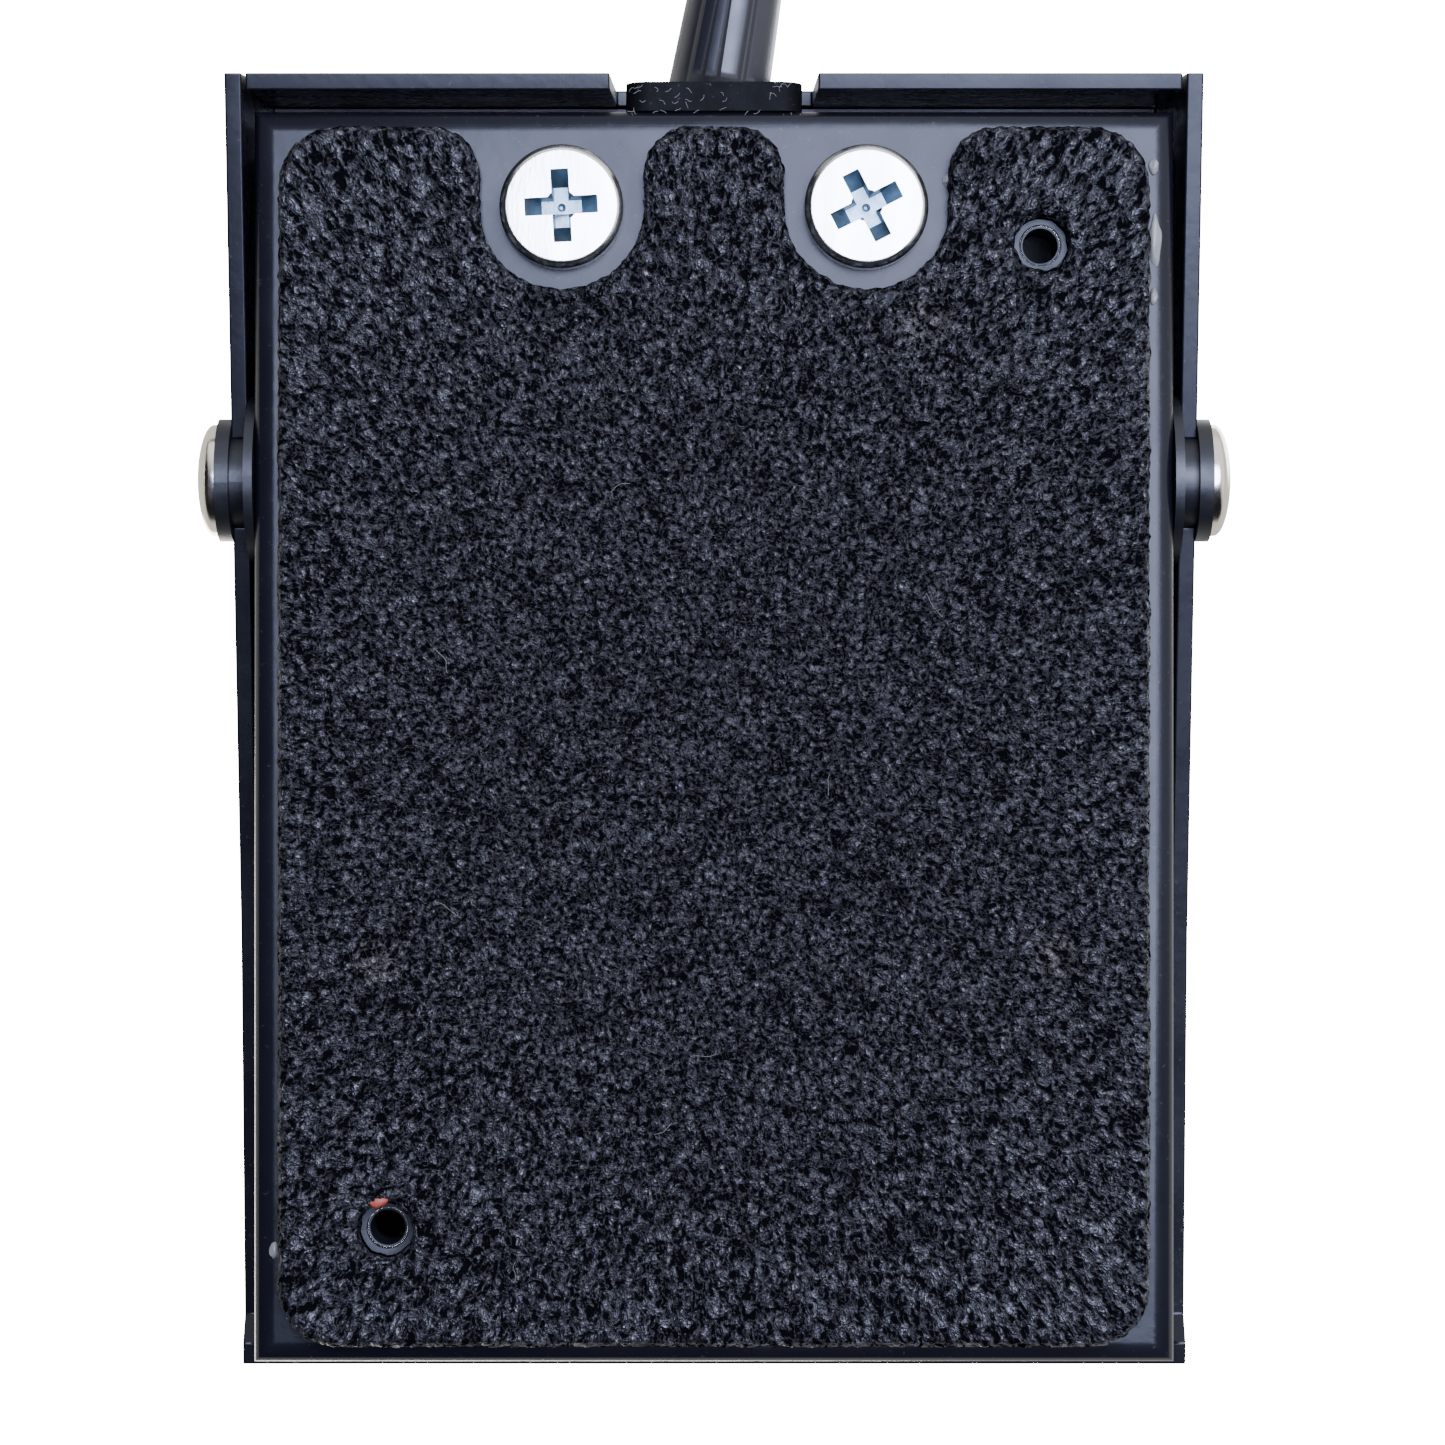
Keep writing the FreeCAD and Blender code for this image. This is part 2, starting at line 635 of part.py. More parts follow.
def make_stops():
    """Rubber stops that meet the treadle's underside at the end of its travel each way."""
    plans = (
        ("toe_stops", "toe_stop_across", "toe_stop_along", "stop_radius", "toe_angle"),
        ("heel_stops", "heel_stop_across", "heel_stop_along", "heel_stop_radius", "(-rest_tilt * 1 deg)"),
    )
    for label, across, along, radius, angle in plans:
        stops = []
        plane = f"pivot_height + ({along} - pivot_along) * tan({angle}) + shell_depth / cos({angle})"
        for side, sign in sides():
            stop = body(label + "_" + side)
            post = rod(stop, "post_" + label + side, radius, (f"{sign} * {across} / 2", along, "pan_floor"), "Z",
                       f"{plane} - stop_gap - pan_floor")
            crown = value(f"{plane} - stop_gap")
            soften(stop, "crown_" + label + side, post, "stop_round",
                   lambda spot, run, edge, level=crown: at_height(spot, level))
            stops.append(stop)
        group(label, stops)


def make_pivots():
    """Pivot screws through the treadle's bushes into the pan's ears, with washers and nuts."""
    screws, nuts, washers, bushes = [], [], [], []
    axle = ("pivot_along", "pivot_height")
    for side, sign in sides():
        way = Vector(float(sign), 0, 0)

        def reach(formula, sign=sign):
            """Give a distance from the middle plane on this side."""
            return (f"{sign} * ({formula})",) + axle

        under = "shell_wide / 2 + bush_flange + run_play"
        screw = body("pivot_screw_" + side)
        head = rod(screw, "pivot_head_" + side, "pivot_head", reach(under), way, "pivot_dome")
        edge_x = abs(value(f"{under} + pivot_dome"))
        soften(screw, "pivot_dome_" + side, head, "pivot_dome * 0.85",
               lambda spot, run, edge, far=edge_x: abs(abs(spot.x) - far) < 0.01)
        rod(screw, "pivot_shank_" + side, "pivot_pin", reach(f"{under} - pivot_shank"), way, "pivot_shank + 0.3")
        screws.append(screw)
        nut = body("pivot_nut_" + side)
        hex_start = "pan_inside_x - nut_height" if sign == "1" else "pan_inside_x"
        hexagon(nut, "pivot_hexagon_" + side, "nut_corner", reach(hex_start), "X", "nut_height")
        rod(nut, "pivot_thread_" + side, "pivot_pin + thread_play", reach("pan_inside_x - 20"), way, "40", cut=True)
        nuts.append(nut)
        washer = body("friction_washer_" + side)
        rod(washer, "washer_" + side, "washer_radius", reach("pan_wide / 2 + run_play"), way,
            "shell_inside_x - pan_wide / 2 - 2 * run_play")
        rod(washer, "washer_hole_" + side, "pivot_pin + run_play", reach("0"), way, "40", cut=True)
        washers.append(washer)
        bush = body("pivot_bush_" + side)
        rod(bush, "barrel_" + side, "bush_radius", (f"{sign} * shell_inside_x", "0", "0"), way, "shell_sheet")
        rod(bush, "flange_" + side, "bush_flange_radius", (f"{sign} * shell_wide / 2", "0", "0"), way,
            "bush_flange")
        rod(bush, "bush_bore_" + side, "pivot_pin + run_play", ("0", "0", "0"), way, "50", cut=True)
        bushes.append(bush)
    group("pivot_screws", screws)
    group("pivot_nuts", nuts)
    group("friction_washers", washers)
    group("pivot_bushes", bushes, treadle=True)


# ---- treadle -------------------------------------------------------------------------------

def make_shell():
    """Treadle shell: a pressed tray turned over the pan, with slit rear corners and a cable gap."""
    shell = body("shell")
    half = "shell_wide / 2"
    bottom = "-skirt_rear - 3"
    blank = block(shell, "shell_blank", (f"-{half}", half), ("-shell_front", "shell_rear"), (bottom, "shell_top"))
    top = value("shell_top")
    soften(shell, "shell_edges", blank, "shell_edge", lambda spot, run, edge: at_height(spot, top))
    block(shell, "shell_hollow", ("-shell_inside_x", "shell_inside_x"),
          ("-shell_front + shell_sheet", "shell_rear - shell_sheet"), (f"{bottom} - 1", "shell_depth"), cut=True)
    skirt = [
        ("-shell_front - 5", "skirt_front - lip_drop"),
        ("-shell_front + 1.6", "skirt_front - lip_drop"),
        ("-shell_front + 3.4", "skirt_front"),
        ("-skirt_bend", "skirt_front"),
        ("shell_rear", "-skirt_rear"),
        ("shell_rear + 5", "-skirt_rear"),
        ("shell_rear + 5", f"{bottom} - 5"),
        ("-shell_front - 5", f"{bottom} - 5"),
    ]
    outline(shell, "shell_skirt", "YZ", skirt, "-shell_wide", "2 * shell_wide", cut=True)
    block(shell, "cable_way", ("-cable_gap / 2", "cable_gap / 2"), ("shell_rear - 5", "shell_rear + 5"),
          (f"{bottom} - 1", "cable_gap_top"), cut=True)
    for side, sign in sides():
        near, far = "shell_inside_x - corner_slit", "shell_inside_x"
        span = (near, far) if sign == "1" else (f"-({far})", f"-({near})")
        block(shell, "slit_" + side, span, ("shell_rear - shell_sheet - 1", "shell_rear + 1"),
              (f"{bottom} - 1", "shell_depth - 1"), cut=True)
    rod(shell, "bush_hole", "bush_radius + thread_play", ("-shell_wide", "0", "0"), "X", "2 * shell_wide", cut=True)
    for name, along in bracket_spots():
        rod(shell, "countersink_" + name, "small_head - shell_sheet", (bracket_column(), along, "shell_depth"), "Z",
            "shell_sheet", cut=True, tip="small_head")
    node(shell, "treadle_shell", treadle=True)


def make_tread():
    """Rubber tread bonded on the shell, with cross ribs."""
    tread = body("tread")
    half = "shell_wide / 2 - tread_inset"
    start, end = "-shell_front + tread_inset", "shell_rear - tread_inset"
    slab = block(tread, "tread_slab", (f"-({half})", half), (start, end), ("shell_top", "tread_back + tread_rib"))
    soften(tread, "tread_corners", slab, "tread_corner", lambda spot, run, edge: is_upright(run))
    groove = block(tread, "tread_groove_cut", ("-shell_wide", "shell_wide"),
                   (f"{start} + tread_pitch", f"{start} + tread_pitch + tread_groove"),
                   ("tread_back", "tread_back + 5"), cut=True)
    rows = tread.newObject("PartDesign::LinearPattern", "tread_grooves")
    rows.Originals = [groove]
    axis = [item for item in tread.Origin.OriginFeatures if item.Role == "Y_Axis"]
    rows.Direction = (axis[0], [""])
    bind(rows, "Occurrences", "floor((shell_front + shell_rear - 2 * tread_inset) / tread_pitch) - 1")
    bind(rows, "Length", "(floor((shell_front + shell_rear - 2 * tread_inset) / tread_pitch) - 2) * tread_pitch")
    tread.Tip = rows
    node(tread, "tread_rubber", treadle=True)


def bracket_spots():
    """Give the sector bracket's two screw places along the treadle."""
    return (("near", "-bracket_start - 3"), ("far", "-bracket_start - bracket_long + 3"))


def bracket_column():
    """Give the sector bracket's screw place across the treadle."""
    return "web_left - bracket_flange / 2 + 0.4"


def make_sector_bracket():
    """Angle bracket under the treadle that carries the sector, with its screws, nuts and rivets."""
    bracket = body("angle")
    span = ("-bracket_start - bracket_long", "-bracket_start")
    block(bracket, "angle_flange", ("web_left - bracket_flange", "web_left + bracket_sheet"), span,
          ("shell_depth - bracket_sheet", "shell_depth"))
    block(bracket, "angle_web", ("web_left", "web_left + bracket_sheet"), span,
          ("shell_depth - bracket_drop", "shell_depth"))
    for name, along in bracket_spots():
        rod(bracket, "angle_hole_" + name, "small_screw + run_play", (bracket_column(), along, "shell_depth - 3"),
            "Z", "6", cut=True)
    for name, along, low in rivet_spots():
        rod(bracket, "rivet_hole_" + name, "1", ("web_left - 1", along, low), "X", "4", cut=True)
    node(bracket, "sector_bracket", treadle=True)

    screws, nuts = [], []
    for name, along in bracket_spots():
        screw = body("bracket_screw_" + name)
        spot = (bracket_column(), along)
        rod(screw, "cone_" + name, "small_head - shell_sheet", spot + ("shell_depth",), "Z", "shell_sheet",
            tip="small_head")
        rod(screw, "stem_" + name, "small_screw", spot + ("shell_depth - bracket_sheet - 3",), "Z",
            "bracket_sheet + 3.2")
        screws.append(screw)
        nut = body("bracket_nut_" + name)
        under = spot + ("shell_depth - bracket_sheet - 2.2",)
        hexagon(nut, "bracket_hexagon_" + name, "small_screw * 2", under, "Z", "2.2")
        rod(nut, "bracket_thread_" + name, "small_screw + thread_play", under, "Z", "4", cut=True)
        nuts.append(nut)
    group("bracket_screws", screws, treadle=True)
    group("bracket_nuts", nuts, treadle=True)

    rivets = []
    for name, along, low in rivet_spots():
        rivet = body("rivet_" + name)
        rod(rivet, "rivet_stem_" + name, "1", ("web_left - 0.6", along, low), "X",
            "bracket_sheet + sector_thick + 1.2")
        rod(rivet, "rivet_head_" + name, "1.9", ("web_left - 0.7", along, low), "X", "0.7")
        rod(rivet, "rivet_tail_" + name, "1.9", ("gear_side", along, low), "X", "0.6")
        rivets.append(rivet)
    group("sector_rivets", rivets, treadle=True)


def rivet_spots():
    """Give the places of the rivets that hold the sector to its bracket."""
    return (("front", "-bracket_start - bracket_long + 3.2", "shell_depth - 9.5"),
            ("back", "-bracket_start - 3.2", "shell_depth - 9.5"))


def tooth_flank(radius, half_angle, base, root, tip):
    """Give radius and half-angle pairs along one involute flank, root to tip."""
    pressure = math.acos(base / radius)
    spread = half_angle + math.tan(pressure) - pressure
    steps = 5
    flank = [(root, spread)]
    start = max(base, root)
    for step in range(steps + 1):
        reach = start + (tip - start) * step / steps
        slope = math.acos(min(1.0, base / reach))
        flank.append((reach, spread - (math.tan(slope) - slope)))
    return flank


def gear_teeth(teeth, shift, middles):
    """Give the outline points of a run of teeth, centred at angles measured from -Y upwards."""
    module = value("gear_module")
    pitch = module * teeth / 2
    tip = pitch + module * (1 + shift)
    root = pitch - module * (1.25 - shift)
    half = (math.pi / 2 + 2 * shift * math.tan(math.radians(20))) / teeth - value("backlash") / (2 * pitch)
    flank = tooth_flank(pitch, half, pitch * math.cos(math.radians(20)), root, tip)
    points = []
    for middle in middles:
        points += [(reach, middle - turn) for reach, turn in flank]
        points += [(reach, middle + turn) for reach, turn in reversed(flank)]
    return [Vector(0, -reach * math.cos(turn), reach * math.sin(turn)) for reach, turn in points]


def make_sector_gear():
    """Toothed sector on the treadle: five teeth on an arm that reaches up to its bracket."""
    teeth = value("sector_teeth")
    step = 2 * math.pi / teeth
    first = math.radians(value("mesh_angle")) - step / 2
    rim = gear_teeth(teeth, -value("profile_shift"), [first + index * step for index in range(5)])
    heel = value("bracket_start")
    toe = value("bracket_start + bracket_long")
    crest = value("shell_depth - bracket_sheet - 4")
    inner = value("gear_module * sector_teeth / 2") - 6.5
    low = math.radians(value("mesh_angle")) - step * 0.8
    points = [Vector(0, -inner * math.cos(low), inner * math.sin(low))]
    points += rim
    points += [Vector(0, -toe, crest - 2), Vector(0, -toe, crest), Vector(0, -heel, crest), Vector(0, -heel, 6)]
    points.append(Vector(0, -inner + 4, 3))
    points.append(points[0])
    left = value("gear_side - sector_thick")
    face = Part.Face(Part.makePolygon([point + Vector(left, 0, 0) for point in points]))
    solid = face.extrude(Vector(value("sector_thick"), 0, 0))
    for name, along, low_spot in rivet_spots():
        solid = solid.cut(Part.makeCylinder(1, 20, Vector(-10, value(along), value(low_spot)), Vector(1, 0, 0)))
    sector = DOCUMENT.addObject("Part::Feature", "sector")
    sector.Shape = solid
    node(sector, "sector_gear", treadle=True)


# ---- rotor ---------------------------------------------------------------------------------

def make_rotor():
    """Potentiometer shaft with its pinion, set screw and wiper."""
    axle = ("pot_along", "pot_height")
    shaft = body("shaft")
    rod(shaft, "shaft_bar", "shaft_radius", ("shaft_left",) + axle, "X", "pot_face + 5.5 - shaft_left")
    node(shaft, "pot_shaft")

    wiper = body("wiper")
    rod(wiper, "wiper_disc", "pot_radius - pot_wall - 1", ("wiper_left",) + axle, "X", "2")
    rod(wiper, "wiper_bore", "shaft_radius", ("0",) + axle, "X", "50", cut=True)
    node(wiper, "pot_wiper")

    teeth = int(value("pinion_teeth"))
    step = 2 * math.pi / teeth
    facing = math.pi + math.radians(value("mesh_angle + rest_tilt"))
    middles = [facing + index * step for index in range(teeth)]
    rim = gear_teeth(teeth, value("profile_shift"), middles)
    place = Vector(value("pinion_left"), value("pot_along"), value("pot_height"))
    face = Part.Face(Part.makePolygon([point + place for point in rim + rim[:1]]))
    solid = face.extrude(Vector(value("pinion_wide"), 0, 0))
    hub_place = place + Vector(value("pinion_wide"), 0, 0)
    along = Vector(1, 0, 0)
    solid = solid.fuse(Part.makeCylinder(value("hub_radius"), value("hub_wide"), hub_place, along))
    solid = solid.cut(Part.makeCylinder(value("shaft_radius"), 40, place - along * 10, along))
    middle = hub_place + along * value("hub_wide / 2")
    grub_radius = 0.8
    solid = solid.cut(Part.makeCylinder(grub_radius, 10, middle, Vector(0, 0, 1)))
    pinion = DOCUMENT.addObject("Part::Feature", "pinion_blank")
    pinion.Shape = solid.removeSplitter()
    node(pinion, "pinion")

    grub = body("grub")
    rod(grub, "grub_bar", f"{grub_radius}",
        ("pinion_right + hub_wide / 2", "pot_along", "pot_height + shaft_radius"), "Z",
        "hub_radius - shaft_radius")
    node(grub, "pinion_set_screw")


# ---- cords ---------------------------------------------------------------------------------

def rounded_path(points):
    """Join points by straight runs and tangent arcs, and give the wire and its arc radii."""
    share = 0.45
    edges = []
    radii = []
    here = points[0]
    for before, corner, after in zip(points, points[1:], points[2:]):
        back = before - corner
        ahead = after - corner
        turn = math.pi - back.getAngle(ahead)
        reach = share * min(back.Length, ahead.Length)
        radii.append(reach / math.tan(turn / 2))
        start = corner + back * (reach / back.Length)
        end = corner + ahead * (reach / ahead.Length)
        bisector = (back / back.Length + ahead / ahead.Length).normalize()
        depth = radii[-1] / math.cos(turn / 2) - radii[-1]
        edges.append(Part.LineSegment(here, start).toShape())
        edges.append(Part.Arc(start, corner + bisector * depth, end).toShape())
        here = end
    edges.append(Part.LineSegment(here, points[-1]).toShape())
    return Part.Wire(edges), radii


def tube(points, radius, name):
    """Sweep a round section along a rounded path and report its bends."""
    path, radii = rounded_path(points)
    ring = Part.Wire(Part.makeCircle(radius, points[0], points[1] - points[0]))
    solid = path.makePipeShell([ring], True, False)
    expected = math.pi * radius ** 2 * path.Length
    print(f"{name}: length {path.Length:.1f} mm, volume ratio {solid.Volume / expected:.4f}")
    print(f"{name}: arc radii " + ", ".join(f"{radius_here:.1f}" for radius_here in radii))
    return solid


def feature(solid, label):
    """Keep a solid made in code as a sub-part."""
    item = DOCUMENT.addObject("Part::Feature", label + "_solid")
    item.Shape = solid
    return node(item, label)


def make_wires():
    """Three hookup wires from the cable tail to the potentiometer's lugs."""
    wires = []
    radius = value("wire_radius")
    tail = Vector(0, value("tail_end"), value("cable_height"))
    lug_x = value("wafer_left + wafer_thick + lug_thick")
    lug_y = value("pot_along + pot_radius + lug_long")
    middle = (tail.y + lug_y) / 2
    for step in (-1, 0, 1):
        lug = Vector(lug_x + radius, lug_y - 1.5, value("pot_height") + step * value("lug_pitch"))
        start = tail + Vector(0, 0, step * 1.35)
        points = [
            start,
            start + Vector(0, -5, 0),
            Vector((start.x + lug.x) / 2, middle, (start.z + lug.z) / 2),
            lug + Vector(0, 5, 0),
            lug,
        ]
        wires.append(tube(points, radius, "hookup wire"))
    feature(Part.makeCompound(wires), "hookup_wires")


def make_cable():
    """Free cable: the run to the stored coil, the coil, its tie, and the run to the plug."""
    radius = value("cord_radius")
    floor = radius
    tip = Vector(value("tip_x"), value("tip_y"), value("cable_height"))
    level = value("coil_lift") + radius
    centre = Vector(value("coil_centre_x"), value("coil_centre_y"), 0)
    outer = value("coil_mean + coil_spread")
    side = centre.x - outer
    lean = math.radians(value("boot_lean"))
    route = [
        tip,
        tip + Vector(-math.sin(lean), math.cos(lean), 0) * 10,
        Vector(-7.6, 88.0, 4.4),
        Vector(-8.7, 98.5, floor + 0.2),
        Vector(side, centre.y, level),
    ]
    feature(tube(route, radius, "cable"), "cable")

    coil = body("coil")
    place = ("coil_centre_x", "coil_centre_y", "coil_lift")
    rod(coil, "coil_outer", "coil_outside", place, "Z", "coil_top - coil_lift")
    hole = rod(coil, "coil_hole", "coil_inside", place, "Z", "coil_top", cut=True)
    soften(coil, "coil_round", hole, "cord_radius * 0.9",
           lambda spot, run, edge: abs(run.z) < 0.01)
    node(coil, "cable_coil")

    tie = body("tie")
    across = ("coil_centre_x - tie_wide / 2", "coil_centre_x + tie_wide / 2")
    along = ("coil_centre_y + coil_inside - tie_slack", "coil_centre_y + coil_outside + tie_thick + run_play")
    block(tie, "tie_band", across, along, ("0", "coil_top + tie_thick"))
    block(tie, "tie_window", (f"{across[0]} - 1", f"{across[1]} + 1"),
          (f"{along[0]} + tie_thick", f"{along[1]} - tie_thick"), ("tie_thick", "coil_top"), cut=True)
    node(tie, "coil_tie")

    top = value("coil_lift + turn_pitch") + radius
    row = value("plug_row")
    end_route = [
        Vector(row, centre.y + 2.0, top),
        Vector(row, centre.y - 8.0, top),
        Vector(row, centre.y - 17.0, value("plug_height")),
        Vector(row, value("plug_start"), value("plug_height")),
    ]
    feature(tube(end_route, radius, "cable end"), "cable_end")


def make_plug():
    """Three-contact phone plug at the cable's far end."""
    boot = body("plug_boot")
    plug_rod(boot, "plug_boot_cone", "plug_boot_radius", "plug_start", "plug_boot_long", "plug_boot_radius + 0.9")
    node(boot, "plug_strain_relief")
    handle = body("plug_handle_body")
    grip = plug_rod(handle, "plug_grip", "plug_handle_radius", "handle_start", "plug_handle_long")
    soften(handle, "plug_grip_ends", grip, "1", lambda spot, run, edge: abs(run.y) < 0.01)
    node(handle, "plug_handle")
    sleeve = body("sleeve")
    plug_rod(sleeve, "collar", "plug_collar_radius", "collar_start", "plug_collar_long")
    plug_rod(sleeve, "sleeve_bar", "plug_pin_radius", "sleeve_start", "plug_sleeve_long")
    node(sleeve, "plug_sleeve")
    ring = body("plug_ring_body")
    plug_rod(ring, "ring_bar", "plug_pin_radius", "ring_start", "plug_ring_long")
    node(ring, "plug_ring")
    gaps = []
    for name, start in (("sleeve", "sleeve_start - plug_sleeve_long"), ("ring", "ring_start - plug_ring_long")):
        gap = body("insulator_" + name)
        plug_rod(gap, "insulator_bar_" + name, "plug_pin_radius", start, "plug_gap_long")
        gaps.append(gap)
    group("plug_insulators", gaps)
    tip = body("plug_tip_body")
    plug_rod(tip, "tip_neck", "plug_pin_radius", "tip_start", "tip_neck_long", "tip_waist")
    plug_rod(tip, "tip_swell", "tip_waist", "tip_start - tip_neck_long", "tip_swell_long", "tip_shoulder")
    plug_rod(tip, "tip_point", "tip_shoulder", "tip_start - tip_neck_long - tip_swell_long",
             "plug_tip_long - tip_neck_long - tip_swell_long", "tip_end")
    node(tip, "plug_tip")


def plug_rod(owner, name, radius, start, length, tip=None):
    """Add one stage of the plug on its own axis, from its cable end towards its tip."""
    return rod(owner, name, radius, ("plug_row", start, "plug_height"), "-Y", length, tip=tip)


def check_and_export():
    """Recompute, stop on any failed object, and write one STEP file per sub-part."""
    DOCUMENT.recompute()
    for thing in DOCUMENT.Objects:
        if "Invalid" in thing.State or "Error" in thing.State:
            raise RuntimeError(f"{thing.Label} failed: {thing.State}")
    os.makedirs("parts", exist_ok=True)
    for thing in NODES:
        if thing.Shape.isNull() or not thing.Shape.isValid():
            raise RuntimeError(f"{thing.Label} has no valid shape")
        if not thing.Shape.Solids:
            raise RuntimeError(f"{thing.Label} has no solid")
        thing.Shape.exportStep(os.path.join("parts", thing.Label + ".step"))
    print(f"{len(NODES)} sub-parts written")


def main():
    """Build every sub-part."""
    fill_sheet()
    make_pan()
    make_pad()
    make_chassis_screws()
    make_inserts()
    make_strain_relief()
    make_cable_hold()
    make_pot_bracket()
    make_pot()
    make_stops()
    make_pivots()
    make_shell()
    make_tread()
    make_sector_bracket()
    make_sector_gear()
    make_rotor()
    make_wires()
    make_cable()
    make_plug()
    check_and_export()


main()
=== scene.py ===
"""Looks of a small volume pedal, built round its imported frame.

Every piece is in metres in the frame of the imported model: +Z up, +Y towards the cable, and the
anti-slip pad standing on z = 0.
"""
from __future__ import annotations

import logging
import math
from dataclasses import dataclass
from enum import Enum

import bmesh
import bpy
import numpy as np
from mathutils import Matrix, Vector, noise

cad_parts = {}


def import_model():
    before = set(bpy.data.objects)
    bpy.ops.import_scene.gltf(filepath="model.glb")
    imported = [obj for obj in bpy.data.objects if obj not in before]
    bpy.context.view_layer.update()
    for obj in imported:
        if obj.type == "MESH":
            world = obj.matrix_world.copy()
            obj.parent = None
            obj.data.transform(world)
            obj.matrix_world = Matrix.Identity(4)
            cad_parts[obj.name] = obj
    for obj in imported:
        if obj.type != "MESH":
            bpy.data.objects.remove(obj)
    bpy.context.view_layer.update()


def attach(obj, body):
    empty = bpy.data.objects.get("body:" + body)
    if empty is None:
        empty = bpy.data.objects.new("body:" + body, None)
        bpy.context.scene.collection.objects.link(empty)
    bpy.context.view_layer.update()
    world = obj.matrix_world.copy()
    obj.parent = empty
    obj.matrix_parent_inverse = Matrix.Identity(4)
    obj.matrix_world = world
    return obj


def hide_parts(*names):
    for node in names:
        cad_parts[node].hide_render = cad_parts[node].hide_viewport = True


LOG = logging.getLogger("volume_pedal")
MM = 0.001


# ---- small tools -----------------------------------------------------------------------------

def linear(code: str) -> tuple[float, float, float, float]:
    """Turn an sRGB hex colour into linear light.

    Args:
        code: six hex digits, such as "1b1d24".

    Returns:
        Red, green, blue and an alpha of one.
    """
    parts = [int(code[start:start + 2], 16) / 255 for start in (0, 2, 4)]
    red, green, blue = (
        part / 12.92 if part <= 0.04045 else ((part + 0.055) / 1.055) ** 2.4 for part in parts
    )
    return red, green, blue, 1.0


def add_node(tree: bpy.types.NodeTree, kind: str, inputs: dict | None = None,
             **settings: object) -> bpy.types.Node:
    """Add one shader node with its settings, values and links.

    Args:
        tree: the tree that takes the node.
        kind: the node's type name, without its ShaderNode prefix.
        inputs: input name or number to a value, or to an output socket to link.
        settings: attributes of the node itself.

    Returns:
        The new node.
    """
    made = tree.nodes.new("ShaderNode" + kind)
    for name, setting in settings.items():
        setattr(made, name, setting)
    for name, given in (inputs or {}).items():
        if isinstance(given, bpy.types.NodeSocket):
            tree.links.new(given, made.inputs[name])
        else:
            made.inputs[name].default_value = given
    return made


def pattern_scale(size_mm: float) -> float:
    """Give a texture's scale for a grain of a real size in millimetres."""
    return 1.0 / (size_mm * MM)


def new_object(name: str, mesh: bmesh.types.BMesh, smooth_angle: float = 35.0) -> bpy.types.Object:
    """Turn a bmesh into a smooth-shaded object.

    Args:
        name: the object's name.
        mesh: the bmesh, which is freed.
        smooth_angle: edges sharper than this many degrees stay sharp.

    Returns:
        The object, linked to the scene.
    """
    data = bpy.data.meshes.new(name)
    mesh.to_mesh(data)
    mesh.free()
    data.polygons.foreach_set("use_smooth", [True] * len(data.polygons))
    data.set_sharp_from_angle(angle=math.radians(smooth_angle))
    made = bpy.data.objects.new(name, data)
    bpy.context.scene.collection.objects.link(made)
    return made


def lathe(name: str, profile: list[tuple[float, float]], place: Matrix, steps: int = 64) -> bpy.types.Object:
    """Turn a closed or axis-to-axis profile about its own Z axis.

    Args:
        name: the object's name.
        profile: radius and height pairs in millimetres, in order along the outline.
        place: where the axis goes.
        steps: the number of facets round the axis.

    Returns:
        The turned object.
    """
    mesh = bmesh.new()
    rings = []
    for radius, height in profile:
        if radius < 1e-6:
            rings.append([mesh.verts.new((0, 0, height * MM))])
            continue
        rings.append([
            mesh.verts.new((
                radius * MM * math.cos(2 * math.pi * step / steps),
                radius * MM * math.sin(2 * math.pi * step / steps),
                height * MM,
            ))
            for step in range(steps)
        ])
    for low, high in zip(rings, rings[1:]):
        join_rings(mesh, low, high, steps)
    if len(rings[0]) > 1 and len(rings[-1]) > 1:
        join_rings(mesh, rings[-1], rings[0], steps)
    mesh.transform(place)
    bmesh.ops.recalc_face_normals(mesh, faces=mesh.faces)
    return new_object(name, mesh)


def join_rings(mesh: bmesh.types.BMesh, low: list, high: list, steps: int) -> None:
    """Skin the band between two rings, either of which may be a single point."""
    for step in range(steps):
        after = (step + 1) % steps
        corners = [
            low[step % len(low)], low[after % len(low)], high[after % len(high)], high[step % len(high)],
        ]
        unique = list(dict.fromkeys(corners))
        if len(unique) > 2:
            mesh.faces.new(unique)


def rounded(corners: list[tuple[float, float]], radius: float, steps: int = 5) -> list[tuple[float, float]]:
    """Round the inner corners of an open profile with short arcs.

    Args:
        corners: radius and height pairs; the first and last stay as they are.
        radius: the corner radius in the same unit.
        steps: the number of segments in each arc.

    Returns:
        The profile with its corners rounded.
    """
    result = [corners[0]]
    for before, corner, after in zip(corners, corners[1:], corners[2:]):
        here, back, ahead = Vector(corner), Vector(before) - Vector(corner), Vector(after) - Vector(corner)
        reach = min(radius, back.length * 0.45, ahead.length * 0.45)
        start, end = here + back.normalized() * reach, here + ahead.normalized() * reach
        for step in range(steps + 1):
            part = step / steps
            spot = start.lerp(here, part).lerp(here.lerp(end, part), part)
            result.append((spot.x, spot.y))
    result.append(corners[-1])
    return result


def facing(place: Vector, axis: Vector, turn: float = 0.0) -> Matrix:
    """Give the matrix that carries local Z onto an axis at a place, turned about it by degrees."""
    swing = Vector((0, 0, 1)).rotation_difference(axis).to_matrix().to_4x4()
    return Matrix.Translation(place) @ swing @ Matrix.Rotation(math.radians(turn), 4, "Z")


